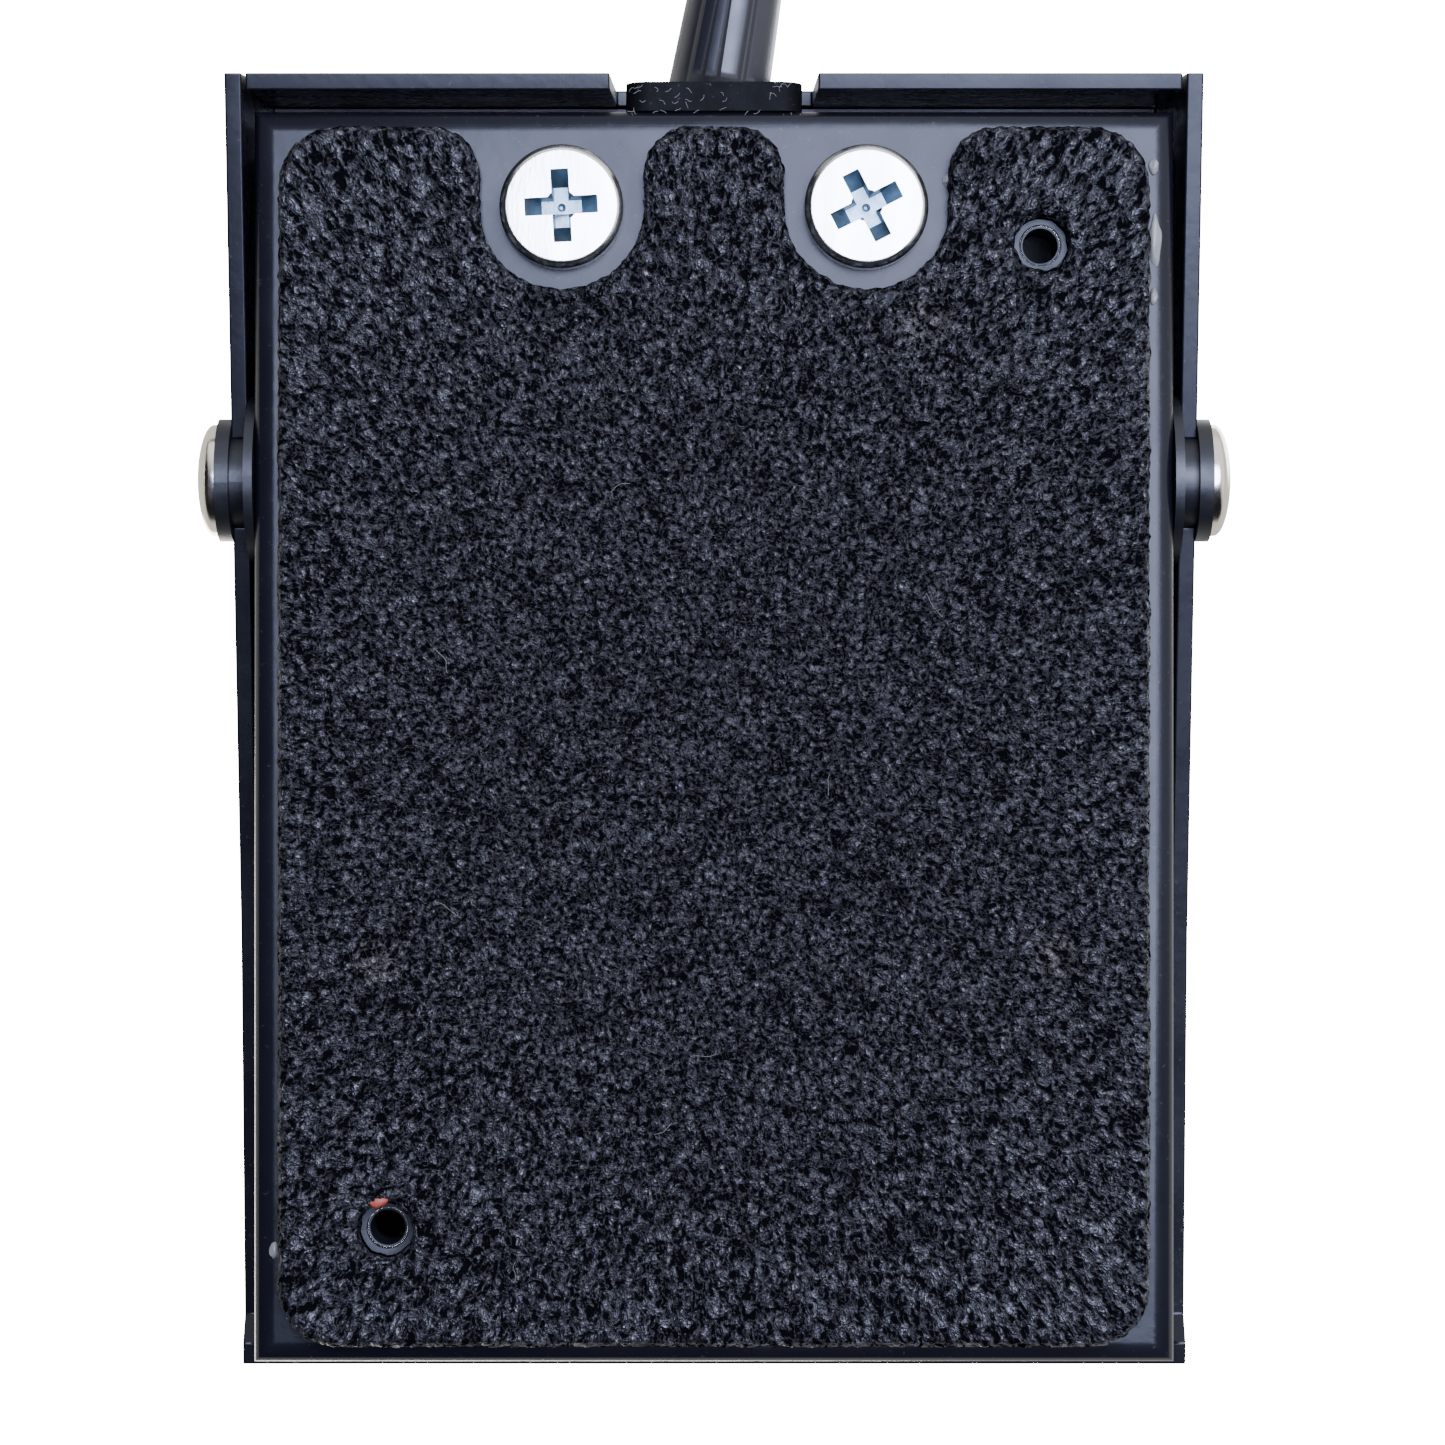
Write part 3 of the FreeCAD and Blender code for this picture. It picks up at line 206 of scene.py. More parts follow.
def eased_copy(node: str, width_mm: float, segments: int = 2, sharp: float = 32.0) -> bpy.types.Object:
    """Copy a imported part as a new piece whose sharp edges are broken, as tumbling or a press leaves them.

    Args:
        node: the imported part.
        width_mm: how far the broken edge reaches on each side.
        segments: facets across the broken edge.
        sharp: edges sharper than this many degrees are broken.

    Returns:
        The new piece, not yet riding on a body.
    """
    mesh = bmesh.new()
    mesh.from_mesh(bpy.data.objects[node].data)
    bmesh.ops.remove_doubles(mesh, verts=mesh.verts, dist=0.002 * MM)
    bmesh.ops.dissolve_limit(mesh, angle_limit=math.radians(0.8), verts=mesh.verts, edges=mesh.edges)
    limit = math.radians(sharp)
    edges = [
        edge for edge in mesh.edges
        if edge.is_manifold and edge.calc_face_angle(0) > limit and edge.calc_length() > 3 * width_mm * MM
    ]
    bmesh.ops.bevel(mesh, geom=edges, offset=width_mm * MM, segments=segments, profile=0.6,
                    affect="EDGES", clamp_overlap=True)
    bmesh.ops.recalc_face_normals(mesh, faces=mesh.faces)
    made = new_object(node + "_eased", mesh, 40.0)
    weighted = made.modifiers.new("weighted normals", "WEIGHTED_NORMAL")
    weighted.keep_sharp = True
    return made


# ---- finishes --------------------------------------------------------------------------------

@dataclass(frozen=True)
class Finish:
    """One surface finish, with two close colours, a varied gloss and a fine relief."""

    name: str
    light: str
    dark: str
    roughness: float
    gloss_swing: float = 0.06
    metallic: float = 0.0
    mottle_mm: float = 6.0
    grain_mm: float = 0.6
    grain_depth: float = 0.12
    stretch: tuple[float, float, float] = (1.0, 1.0, 1.0)
    coat: float = 0.0
    coat_roughness: float = 0.2
    ior: float = 1.5
    specular: float = 0.5
    dust: float = 0.0
    dust_colour: str = "8a8680"
    translucency: float = 0.0

    def build(self) -> bpy.types.Material:
        """Build the material once and give it back after that."""
        known = bpy.data.materials.get(self.name)
        if known:
            return known
        material = bpy.data.materials.new(self.name)
        material.use_nodes = True
        tree = material.node_tree
        tree.nodes.clear()
        shader = add_node(tree, "BsdfPrincipled", {
            "Metallic": self.metallic, "Coat Weight": self.coat, "Coat Roughness": self.coat_roughness,
            "Transmission Weight": self.translucency, "Specular IOR Level": self.specular,
        })
        if not self.metallic:
            shader.inputs["IOR"].default_value = self.ior
        place = add_node(tree, "TexCoord").outputs["Object"]
        stretched = add_node(tree, "Mapping", {"Vector": place, "Scale": self.stretch}).outputs["Vector"]
        colour = self.colour(tree, place)
        tree.links.new(colour, shader.inputs["Base Color"])
        tree.links.new(self.gloss(tree, stretched), shader.inputs["Roughness"])
        tree.links.new(self.relief(tree, stretched, place), shader.inputs["Normal"])
        add_node(tree, "OutputMaterial", {"Surface": shader.outputs["BSDF"]})
        return material

    def colour(self, tree: bpy.types.NodeTree, place: bpy.types.NodeSocket) -> bpy.types.NodeSocket:
        """Mottle the two colours softly and scatter fine dust over them."""
        mottle = add_node(tree, "TexNoise", {
            "Vector": place, "Scale": pattern_scale(self.mottle_mm), "Detail": 4.0,
        })
        blend = add_node(tree, "Mix", {0: mottle.outputs["Fac"], 6: linear(self.dark), 7: linear(self.light)},
                         data_type="RGBA")
        if not self.dust:
            return blend.outputs[2]
        specks = add_node(tree, "TexNoise", {"Vector": place, "Scale": pattern_scale(0.45), "Detail": 6.0})
        mask = add_node(tree, "MapRange", {
            "Value": specks.outputs["Fac"], "From Min": 0.66, "From Max": 0.76,
            "To Min": 0.0, "To Max": self.dust,
        })
        dusty = add_node(tree, "Mix", {
            0: mask.outputs["Result"], 6: blend.outputs[2], 7: linear(self.dust_colour),
        }, data_type="RGBA")
        return dusty.outputs[2]

    def gloss(self, tree: bpy.types.NodeTree, place: bpy.types.NodeSocket) -> bpy.types.NodeSocket:
        """Vary the roughness a little over the surface."""
        waves = add_node(tree, "TexNoise", {
            "Vector": place, "Scale": pattern_scale(self.grain_mm * 5), "Detail": 5.0,
        })
        spread = add_node(tree, "MapRange", {
            "Value": waves.outputs["Fac"], "From Min": 0.3, "From Max": 0.7,
            "To Min": self.roughness - self.gloss_swing, "To Max": self.roughness + self.gloss_swing,
        })
        return spread.outputs["Result"]

    def relief(self, tree: bpy.types.NodeTree, place: bpy.types.NodeSocket,
               plain: bpy.types.NodeSocket) -> bpy.types.NodeSocket:
        """Raise the fine grain of the surface."""
        del plain
        grain = add_node(tree, "TexNoise", {
            "Vector": place, "Scale": pattern_scale(self.grain_mm), "Detail": 3.0,
        })
        bump = add_node(tree, "Bump", {
            "Height": grain.outputs["Fac"], "Strength": self.grain_depth,
            "Distance": self.grain_mm * MM * 0.2,
        })
        return bump.outputs["Normal"]


@dataclass(frozen=True)
class WornRubber(Finish):
    """Crinkled rubber granules with rubbed spots, each given by its place in millimetres."""

    granule_mm: float = 0.52
    # Near-black colour painted into the creases and up the pad's sides as shade.
    crease_shade: str = "08080a"
    crinkle_depth: float = 0.30
    crest_share: float = 0.45
    radiating: float = 95.0
    # Heights up the pad's sides over which the painted crease shade takes over.
    shade_rise_mm: tuple[float, float] = (0.8, 1.3)
    spots: tuple[tuple[float, float, float], ...] = ()
    spot_colour: str = "4a453f"

    def crinkles(self, tree: bpy.types.NodeTree, place: bpy.types.NodeSocket) -> bpy.types.NodeSocket:
        """Give the height of the granules and of the curled creases over them."""
        warp = add_node(tree, "TexNoise", {"Vector": place, "Scale": pattern_scale(0.9), "Detail": 2.0})
        centred = add_node(tree, "VectorMath", {0: warp.outputs["Color"], 1: (0.5, 0.5, 0.5)},
                           operation="SUBTRACT")
        pushed = add_node(tree, "VectorMath", {0: centred.outputs["Vector"], "Scale": 0.7 * MM},
                          operation="SCALE")
        bent = add_node(tree, "VectorMath", {0: place, 1: pushed.outputs["Vector"]}, operation="ADD")
        reach = add_node(tree, "VectorMath", {0: place}, operation="LENGTH").outputs["Value"]
        square = add_node(tree, "Math", {0: reach, 1: 2.0}, operation="POWER").outputs["Value"]
        pull = add_node(tree, "Math", {0: square, 1: -self.radiating, 2: 1.0}, operation="MULTIPLY_ADD")
        slanted = add_node(tree, "VectorMath", {0: bent.outputs["Vector"], "Scale": pull.outputs["Value"]},
                           operation="SCALE").outputs["Vector"]
        cells = add_node(tree, "TexVoronoi", {
            "Vector": slanted, "Scale": pattern_scale(self.granule_mm), "Smoothness": 0.35,
        }, feature="SMOOTH_F1")
        curls = add_node(tree, "TexNoise", {
            "Vector": slanted, "Scale": pattern_scale(self.granule_mm * 0.85), "Detail": 2.5,
            "Roughness": 0.6,
        })
        signed = add_node(tree, "Math", {0: curls.outputs["Fac"], 1: 0.5}, operation="SUBTRACT")
        ridge = add_node(tree, "Math", {0: signed.outputs["Value"]}, operation="ABSOLUTE")
        crest = add_node(tree, "MapRange", {
            "Value": ridge.outputs["Value"], "From Min": 0.0, "From Max": 0.16,
            "To Min": 1.0, "To Max": 0.0,
        })
        dome = add_node(tree, "MapRange", {
            "Value": cells.outputs["Distance"], "From Min": 0.12, "From Max": 0.62,
            "To Min": 1.0, "To Max": 0.0,
        })
        share = add_node(tree, "Mix", {
            0: self.crest_share, 2: dome.outputs["Result"], 3: crest.outputs["Result"],
        }, data_type="FLOAT")
        return share.outputs[0]

    def colour(self, tree: bpy.types.NodeTree, place: bpy.types.NodeSocket) -> bpy.types.NodeSocket:
        """Paint shade into the creases and up the pad's sides, keep the rubber's colour on the granules'
        tops, and add the rubbed spots.
        """
        top = super().colour(tree, place)
        clump = add_node(tree, "TexNoise", {"Vector": place, "Scale": pattern_scale(2.6), "Detail": 3.0})
        amount = add_node(tree, "MapRange", {
            "Value": clump.outputs["Fac"], "From Min": 0.3, "From Max": 0.7,
            "To Min": 0.8, "To Max": 1.1,
        })
        height = add_node(tree, "Math", {0: self.crinkles(tree, place), 1: amount.outputs["Result"]},
                          operation="MULTIPLY")
        top_share = add_node(tree, "MapRange", {
            "Value": height.outputs["Value"], "From Min": 0.20, "From Max": 0.78,
        })
        # Painted shade: from 0.8 mm up, the pad's sides towards the pan go over to the crease colour.
        depth = add_node(tree, "SeparateXYZ", {"Vector": place}).outputs["Z"]
        shade_starts, shade_full = self.shade_rise_mm
        unshaded = add_node(tree, "MapRange", {
            "Value": depth, "From Min": shade_starts * MM, "From Max": shade_full * MM, "To Min": 1.0, "To Max": 0.0,
        })
        share = add_node(tree, "Math", {0: top_share.outputs["Result"], 1: unshaded.outputs["Result"]},
                         operation="MULTIPLY").outputs["Value"]
        # The same painted-shade mask sets the specular level, so the creases and the pad's sides lose their
        # shine.
        principled = next(item for item in tree.nodes if item.bl_idname == "ShaderNodeBsdfPrincipled")
        tree.links.new(share, principled.inputs["Specular IOR Level"])
        # Painted shade: the creases and the pad's sides take the near-black crease colour, and the tops keep
        # the rubber's colour.
        base = add_node(tree, "Mix", {0: share, 6: linear(self.crease_shade), 7: top},
                        data_type="RGBA").outputs[2]
        wobble = add_node(tree, "TexNoise", {"Vector": place, "Scale": pattern_scale(0.8), "Detail": 5.0})
        for across, along, radius in self.spots:
            away = add_node(tree, "VectorMath", {0: place, 1: (across * MM, along * MM, 0.0003)},
                            operation="DISTANCE")
            edge = add_node(tree, "MapRange", {
                "Value": away.outputs["Value"], "From Min": radius * MM * 0.2, "From Max": radius * MM,
                "To Min": 1.2, "To Max": 0.0,
            }, interpolation_type="SMOOTHSTEP")
            ragged = add_node(tree, "Math", {0: edge.outputs["Result"], 1: wobble.outputs["Fac"]},
                              operation="MULTIPLY")
            worn = add_node(tree, "Math", {0: ragged.outputs["Value"], 1: share}, operation="MULTIPLY")
            base = add_node(tree, "Mix", {0: worn.outputs["Value"], 6: base, 7: linear(self.spot_colour)},
                            data_type="RGBA").outputs[2]
        return base

    def relief(self, tree: bpy.types.NodeTree, place: bpy.types.NodeSocket,
               plain: bpy.types.NodeSocket) -> bpy.types.NodeSocket:
        """Raise the granules and creases."""
        del place
        bump = add_node(tree, "Bump", {
            "Height": self.crinkles(tree, plain), "Strength": 1.0, "Distance": self.crinkle_depth * MM,
        })
        return bump.outputs["Normal"]


class Finishes(Enum):
    """Every finish on the pedal."""

    # Baked enamel on pressed steel: near-black with a cold blue tone and a soft orange-peel gloss.
    ENAMEL = Finish("baked enamel on steel", "14141a", "101015", 0.27, specular=0.25, gloss_swing=0.04,
                    grain_mm=0.9, grain_depth=0.06, dust=0.12)
    # Calendered nitrile rubber: purple-black, with a sheen on its tops and none in its creases, which are
    # darkened with painted shade.
    PEBBLED = WornRubber("pebbled nitrile rubber", "26232a", "18161a", 0.41, gloss_swing=0.10, grain_mm=0.35,
                         grain_depth=0.5, mottle_mm=1.2, dust=0.16,
                         spots=((-14.9, 29.0, 2.8), (23.4, -15.6, 2.7), (-24.0, -15.4, 2.6)))
    # Bright zinc plate: near-white metal with fine tumbling marks.
    ZINC = Finish("bright zinc plate", "f3f1ea", "e6e3da", 0.24, metallic=1.0, grain_mm=0.25,
                  grain_depth=0.25, stretch=(1.0, 0.25, 1.0), mottle_mm=1.6)
    # The same plate inside the cross recess, darkened to blue-grey as painted shade, and rougher.
    RECESS_SHADE = Finish("zinc plate with painted recess shade", "8fa3ad", "62717b", 0.38, metallic=1.0, grain_mm=0.2,
                    grain_depth=0.5, mottle_mm=0.8)
    # Nickel plate: smoother than the zinc and faintly yellow.
    NICKEL = Finish("nickel plate", "ece2d2", "dbd1c0", 0.20, metallic=1.0, grain_mm=0.3, grain_depth=0.08,
                    mottle_mm=3.0)
    # Steel blackened in a hot oxide bath: dark, with a low oily sheen.
    BLACKENED = Finish("black oxide steel", "2a2a2c", "1b1b1d", 0.38, metallic=0.7, grain_mm=0.3,
                       grain_depth=0.15)
    # Plasticised PVC, moulded smooth: soft black with a broad gloss.
    VINYL = Finish("moulded PVC", "1d1d23", "131318", 0.38, coat=0.25, coat_roughness=0.24, grain_mm=0.5,
                   grain_depth=0.06, dust=0.12)
    # The relief's flange came from a sparked mould, so it's matt and holds lint.
    SPARKED = Finish("spark-textured PVC", "0d0d10", "060607", 0.64, grain_mm=0.25, grain_depth=0.5,
                     specular=0.09, dust=0.22)
    # Nylon 66: near-black, with a slight satin.
    NYLON = Finish("black nylon 66", "17171a", "0e0e10", 0.42, grain_mm=0.3, grain_depth=0.15)
    # Natural acetal: milky white and slick.
    ACETAL = Finish("natural acetal", "e6e3da", "d8d4c8", 0.32, grain_mm=0.4, grain_depth=0.06, ior=1.48)
    # Paper phenolic board: brown, with flecks of its fibre.
    PHENOLIC = Finish("paper phenolic board", "7a4b25", "57321a", 0.48, grain_mm=0.2, grain_depth=0.2,
                      stretch=(1.0, 0.3, 1.0), mottle_mm=0.7)
    # Hot-tinned brass: grey-white with a buttery tone.
    TINNED = Finish("tinned brass", "c8c0a8", "aca489", 0.32, metallic=1.0, grain_mm=0.5, grain_depth=0.2)
    # Dense moulded rubber for the stops and the tread: black going brown-grey with wear.
    STOP_RUBBER = Finish("moulded chloroprene rubber", "232325", "161618", 0.62, grain_mm=0.3,
                         grain_depth=0.25, dust=0.25)
    TREAD = Finish("ribbed tread rubber", "252628", "17181a", 0.60, grain_mm=0.35, grain_depth=0.35,
                   mottle_mm=9.0, dust=0.22)
    # Hookup wire insulation.
    WIRE = Finish("extruded vinyl insulation", "8e1a16", "74120f", 0.30, grain_mm=0.3, grain_depth=0.05)
    # Dried clear adhesive squeezed out at the pad's edge.
    ADHESIVE = Finish("dried clear adhesive", "a8a69c", "8b8a84", 0.30, grain_mm=0.4, grain_depth=0.2,
                      translucency=0.35, ior=1.46)
    # Red primer that shows where the enamel is chipped.
    PRIMER = Finish("red oxide primer", "a8452c", "7a2c1c", 0.55, grain_mm=0.15, grain_depth=0.3,
                    mottle_mm=0.3)
    # Lint: grey cotton fibres.
    LINT = Finish("cotton lint", "7d7a72", "5e5b55", 0.8, grain_mm=0.1, grain_depth=0.1, mottle_mm=0.5)

    def dress(self, piece: bpy.types.Object) -> None:
        """Give a piece this finish alone."""
        material = self.value.build()
        if piece.material_slots:
            for slot in piece.material_slots:
                slot.material = material
        else:
            piece.data.materials.append(material)


FRAME_FINISHES = {
    Finishes.ZINC: ("chassis_nuts", "pivot_nuts", "pot_bracket", "sector_bracket", "bracket_nuts",
                    "sector_rivets"),
    Finishes.NICKEL: ("pot_case", "pot_bushing", "pot_washer", "pot_nut", "pot_shaft", "plug_sleeve",
                      "plug_ring"),
    Finishes.BLACKENED: ("bracket_screws", "pinion_set_screw"),
    Finishes.NYLON: ("cable_clamp", "friction_washers", "plug_insulators", "pivot_bushes"),
    Finishes.ACETAL: ("sector_gear", "pinion"),
    Finishes.PHENOLIC: ("pot_wafer", "pot_wiper"),
    Finishes.TINNED: ("pot_terminals",),
    Finishes.STOP_RUBBER: ("toe_stops", "heel_stops"),
    Finishes.WIRE: ("hookup_wires",),
    Finishes.VINYL: ("cable_tail",),
}


def settle(piece: bpy.types.Object, body: str, finish: Finishes, slot: str, *nodes: str) -> bpy.types.Object:
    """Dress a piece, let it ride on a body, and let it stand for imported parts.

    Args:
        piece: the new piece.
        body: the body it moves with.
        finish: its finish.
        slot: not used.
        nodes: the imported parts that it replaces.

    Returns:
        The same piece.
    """
    finish.dress(piece)
    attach(piece, body)
    if nodes:
        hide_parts(*nodes)
    LOG.info("%s rides on %s", piece.name, body)
    return piece


# ---- sub-assemblies --------------------------------------------------------------------------

@dataclass
class AntiSlipPad:
    """Pebbled pad under the pan, with two screw notches and two mounting holes (millimetres)."""

    wide: float = 61.1
    long: float = 85.5
    thick: float = 2.45
    corner: float = 4.2
    notch: float = 5.8
    lobe: float = 3.2
    screw_apart: float = 21.4
    screw_row: float = 37.2
    hole: float = 1.9
    hole_across: float = 46.0
    hole_along: float = 69.2
    cell: float = 0.26
    pebble_depth: float = 0.26
    edge_round: float = 0.55
    edge_wobble: float = 0.16
    slant: float = 24.0
    coarse: tuple[float, float] = (0.52, 1.15)
    fine: tuple[float, float] = (0.30, 0.55)
    ridge_pinch: float = 2.4
    ridge_share: float = 0.42
    fine_share: float = 0.38
    warp_share: float = 0.22

    def edge_distance(self, across: np.ndarray, along: np.ndarray) -> np.ndarray:
        """Measure how far inside the pad's outline each point is; outside is negative."""
        over_x = np.abs(across) - (self.wide / 2 - self.corner)
        over_y = np.abs(along) - (self.long / 2 - self.corner)
        outside = np.hypot(np.maximum(over_x, 0), np.maximum(over_y, 0))
        inside = np.minimum(np.maximum(over_x, over_y), 0)
        slab = self.corner - outside - inside
        beside = np.abs(np.abs(across) - self.screw_apart / 2)
        bowl = np.hypot(beside, np.minimum(along - self.screw_row, 0)) - self.notch
        blend = self.lobe
        both = np.stack([slab, bowl])
        low = both.min(axis=0)
        gap = np.clip(blend - both.max(axis=0), 0, None)
        near = np.clip(blend - low, 0, None)
        corner_cut = blend - np.hypot(gap, near)
        distance = np.where((both.max(axis=0) < blend), corner_cut, low)
        for sign in (1, -1):
            away = np.hypot(across + sign * self.hole_across / 2, along - sign * self.hole_along / 2)
            distance = np.minimum(distance, away - self.hole)
        return distance

    def pebbles(self, across: float, along: float) -> float:
        """Give the height of the crinkled grain at a point, from 0 in a pit to 1 on a top."""
        slant = math.radians(self.slant)
        u = across * math.cos(slant) + along * math.sin(slant)
        v = -across * math.sin(slant) + along * math.cos(slant)
        warp = noise.noise(Vector((across * 0.5, along * 0.5, 3.1)))
        grain = noise.noise(Vector((u / self.coarse[0] + warp, v / self.coarse[1], 0.0)))
        fine = noise.noise(Vector((u / self.fine[0], v / self.fine[1] + warp, 7.7)))
        ridges = 1 - abs(grain) * self.ridge_pinch
        height = 0.45 + self.ridge_share * ridges + self.fine_share * fine - 0.2 + self.warp_share * warp
        return min(1.0, max(0.0, height))

    def build(self) -> bpy.types.Object:
        """Build the pad from a fine grid clipped to its outline."""
        columns = int(self.wide / self.cell) + 3
        rows = int(self.long / self.cell) + 3
        xs = (np.arange(columns) - (columns - 1) / 2) * self.cell
        ys = (np.arange(rows) - (rows - 1) / 2) * self.cell
        across, along = np.meshgrid(xs, ys)
        ragged = np.array([
            [noise.noise(Vector((x / 0.55, y / 0.55, 5.0))) * self.edge_wobble for x in xs] for y in ys
        ])
        for _ in range(3):
            distance = self.edge_distance(across, along) + ragged
            step = 0.01
            slope_x = (self.edge_distance(across + step, along) + ragged - distance) / step
            slope_y = (self.edge_distance(across, along + step) + ragged - distance) / step
            near = np.abs(distance) < self.cell * 0.75
            across = np.where(near, across - distance * slope_x, across)
            along = np.where(near, along - distance * slope_y, along)
        distance = self.edge_distance(across, along) + ragged
        kept = distance > -0.02
        mesh = bmesh.new()
        points = {}
        for row, column in zip(*np.nonzero(kept)):
            x, y, inside = across[row, column], along[row, column], max(0.0, distance[row, column])
            height = self.pebbles(x, y)
            fall = max(0.0, 1 - inside / self.edge_round)
            rise = self.edge_round * (1 - math.sqrt(max(0.0, 1 - fall * fall)))
            z = 0.01 + (1 - height) * self.pebble_depth + rise
            points[row, column] = mesh.verts.new((x * MM, y * MM, z * MM))
        for row in range(rows - 1):
            for column in range(columns - 1):
                spots = ((row, column), (row + 1, column), (row + 1, column + 1), (row, column + 1))
                corners = [points[spot] for spot in spots if spot in points]
                if len(corners) > 2:
                    mesh.faces.new(corners)
        bmesh.ops.remove_doubles(mesh, verts=mesh.verts, dist=0.03 * MM)
        loose = [vert for vert in mesh.verts if not vert.link_faces]
        bmesh.ops.delete(mesh, geom=loose, context="VERTS")
        self.close(mesh)
        pad = new_object("anti_slip_pad_pebbled", mesh, 80.0)
        return settle(pad, "base", Finishes.PEBBLED, "pebbled_rubber", "anti_slip_pad")

    def close(self, mesh: bmesh.types.BMesh) -> None:
        """Carry the pad's edge up to the pan and close its back."""
        rim = [edge for edge in mesh.edges if edge.is_boundary]
        walls = bmesh.ops.extrude_edge_only(mesh, edges=rim)
        for vert in (item for item in walls["geom"] if isinstance(item, bmesh.types.BMVert)):
            vert.co.z = self.thick * MM
        top = [edge for edge in mesh.edges if edge.is_boundary]
        bmesh.ops.triangle_fill(mesh, use_beauty=False, use_dissolve=False, edges=top)
        bmesh.ops.recalc_face_normals(mesh, faces=mesh.faces)


@dataclass
class BaseFasteners:
    """Cross-recessed pan-head screws and threaded inserts in the pan (millimetres)."""

    apart: float = 21.4
    row: float = 37.2
    seat: float = 2.5
    head: float = 4.35
    flat: float = 3.98
    tall: float = 2.25
    edge_drop: float = 0.45
    shank: float = 2.5
    shank_long: float = 8.2
    span: float = 5.2
    arm: float = 1.2
    deep: float = 1.5
    turns: tuple[tuple[int, float], ...] = ((-1, 117.0), (1, 93.0))
    insert_across: float = 46.0
    insert_along: float = 69.2
    insert_tall: float = 5.0
    neck: float = 2.7
    collar: float = 3.4
    collar_span: tuple[float, float] = (1.0, 4.0)
    thread_minor: float = 1.25
    thread_major: float = 1.5
    thread_pitch: float = 0.5
    rim_ring: tuple[tuple[float, float], ...] = (
        (1.27, 0.32), (1.33, 0.06), (1.42, -0.03), (1.50, 0.0), (1.56, 0.10), (1.52, 0.32),
    )

    def build(self) -> None:
        """Build both screws and both inserts."""
        screws = [self.screw(sign, turn) for sign, turn in self.turns]
        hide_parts("chassis_screws")
        inserts = [self.insert(sign) for sign in (1, -1)]
        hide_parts("mounting_inserts")
        for sign in (1, -1):
            self.rim(sign)

    def screw(self, sign: int, turn: float) -> bpy.types.Object:
        """Turn one screw and cut its cross recess."""
        rim = [
            (0.0, self.tall), (self.flat, self.tall), (self.head, self.tall - self.edge_drop),
            (self.head, 0.0), (self.shank, 0.0), (self.shank, -self.shank_long), (0.0, -self.shank_long),
        ]
        place = facing(Vector((sign * self.apart / 2, self.row, self.seat)) * MM, Vector((0, 0, -1)), turn)
        side = "right" if sign > 0 else "left"
        screw = lathe("chassis_screw_" + side, rounded(rim, 0.16), place, 72)
        cutters = [self.wing(place, turned) for turned in (0.0, 90.0)] + [self.cone(place)]
        for cutter in cutters:
            cut = screw.modifiers.new("recess", "BOOLEAN")
            cut.operation = "DIFFERENCE"
            cut.object = cutter
            cut.solver = "EXACT"
        bake_modifiers(screw)
        for cutter in cutters:
            bpy.data.objects.remove(cutter)
        settle(screw, "base", Finishes.ZINC, "zinc")
        # Faces inside the cross recess take the darker blue-grey finish: painted shade in the recess.
        screw.data.materials.append(Finishes.RECESS_SHADE.value.build())
        back = place.inverted()
        for face in screw.data.polygons:
            spot = back @ face.center / MM
            inside = math.hypot(spot.x, spot.y) < self.span / 2 + 0.2
            face.material_index = int(inside and 0.1 < spot.z < self.tall - 0.03)
        return screw

    def wing(self, place: Matrix, turned: float) -> bpy.types.Object:
        """Make one tapered bar that cuts two arms of the recess."""
        mesh = bmesh.new()
        corners = [(1, 1), (-1, 1), (-1, -1), (1, -1)]
        rings = [
            [mesh.verts.new((x * long * MM, y * thin * MM, level * MM)) for x, y in corners]
            for level, long, thin in ((self.tall + 0.3, self.span / 2 + 0.2, self.arm / 2 + 0.06),
                                      (self.tall - self.deep, self.span * 0.27, self.arm * 0.40))
        ]
        high, low = rings
        mesh.faces.new(high)
        mesh.faces.new(list(reversed(low)))
        for index, corner in enumerate(high):
            after = (index + 1) % len(high)
            mesh.faces.new((corner, low[index], low[after], high[after]))
        mesh.transform(place @ Matrix.Rotation(math.radians(turned), 4, "Z"))
        bmesh.ops.recalc_face_normals(mesh, faces=mesh.faces)
        return new_object("recess_wing", mesh)

    def cone(self, place: Matrix) -> bpy.types.Object:
        """Make the flared well in the middle of the recess."""
        flare = [(0.0, self.tall + 0.3), (self.arm, self.tall + 0.3), (self.arm * 0.9, self.tall - 0.15),
                 (self.arm * 0.62, self.tall - 1.0), (0.0, self.tall - self.deep - 0.35)]
        return lathe("recess_cone", flare, place, 24)

    def mouth(self, sign: int) -> tuple[Matrix, str]:
        """Give the place of an insert's mouth and the end of the pan that it is at."""
        spot = Vector((-sign * self.insert_across / 2, sign * self.insert_along / 2, self.seat)) * MM
        return Matrix.Translation(spot), "rear" if sign > 0 else "front"

    def insert(self, sign: int) -> bpy.types.Object:
        """Turn one threaded insert with its thread cut as stacked grooves."""
        low, high = self.collar_span
        outline = [
            (self.thread_major + 0.12, 0.0), (self.neck, 0.0), (self.neck, low), (self.collar, low),
            (self.collar, high), (self.neck, high), (self.neck, self.insert_tall),
            (self.thread_minor, self.insert_tall),
        ]
        turns = int((self.insert_tall - 0.3) / self.thread_pitch)
        for index in range(turns, 0, -1):
            level = index * self.thread_pitch - 0.2
            outline.append((self.thread_major, level))
            outline.append((self.thread_minor, level - self.thread_pitch / 2))
        place, end = self.mouth(sign)
        insert = lathe("threaded_insert_" + end, outline, place, 48)
        return settle(insert, "base", Finishes.BLACKENED, "black_steel")

    def rim(self, sign: int) -> bpy.types.Object:
        """Turn the bright chamfer that the tap left at an insert's mouth."""
        place, end = self.mouth(sign)
        rim = lathe("tapped_rim_" + end, list(self.rim_ring), place, 64)
        return settle(rim, "base", Finishes.ZINC, "black_steel")


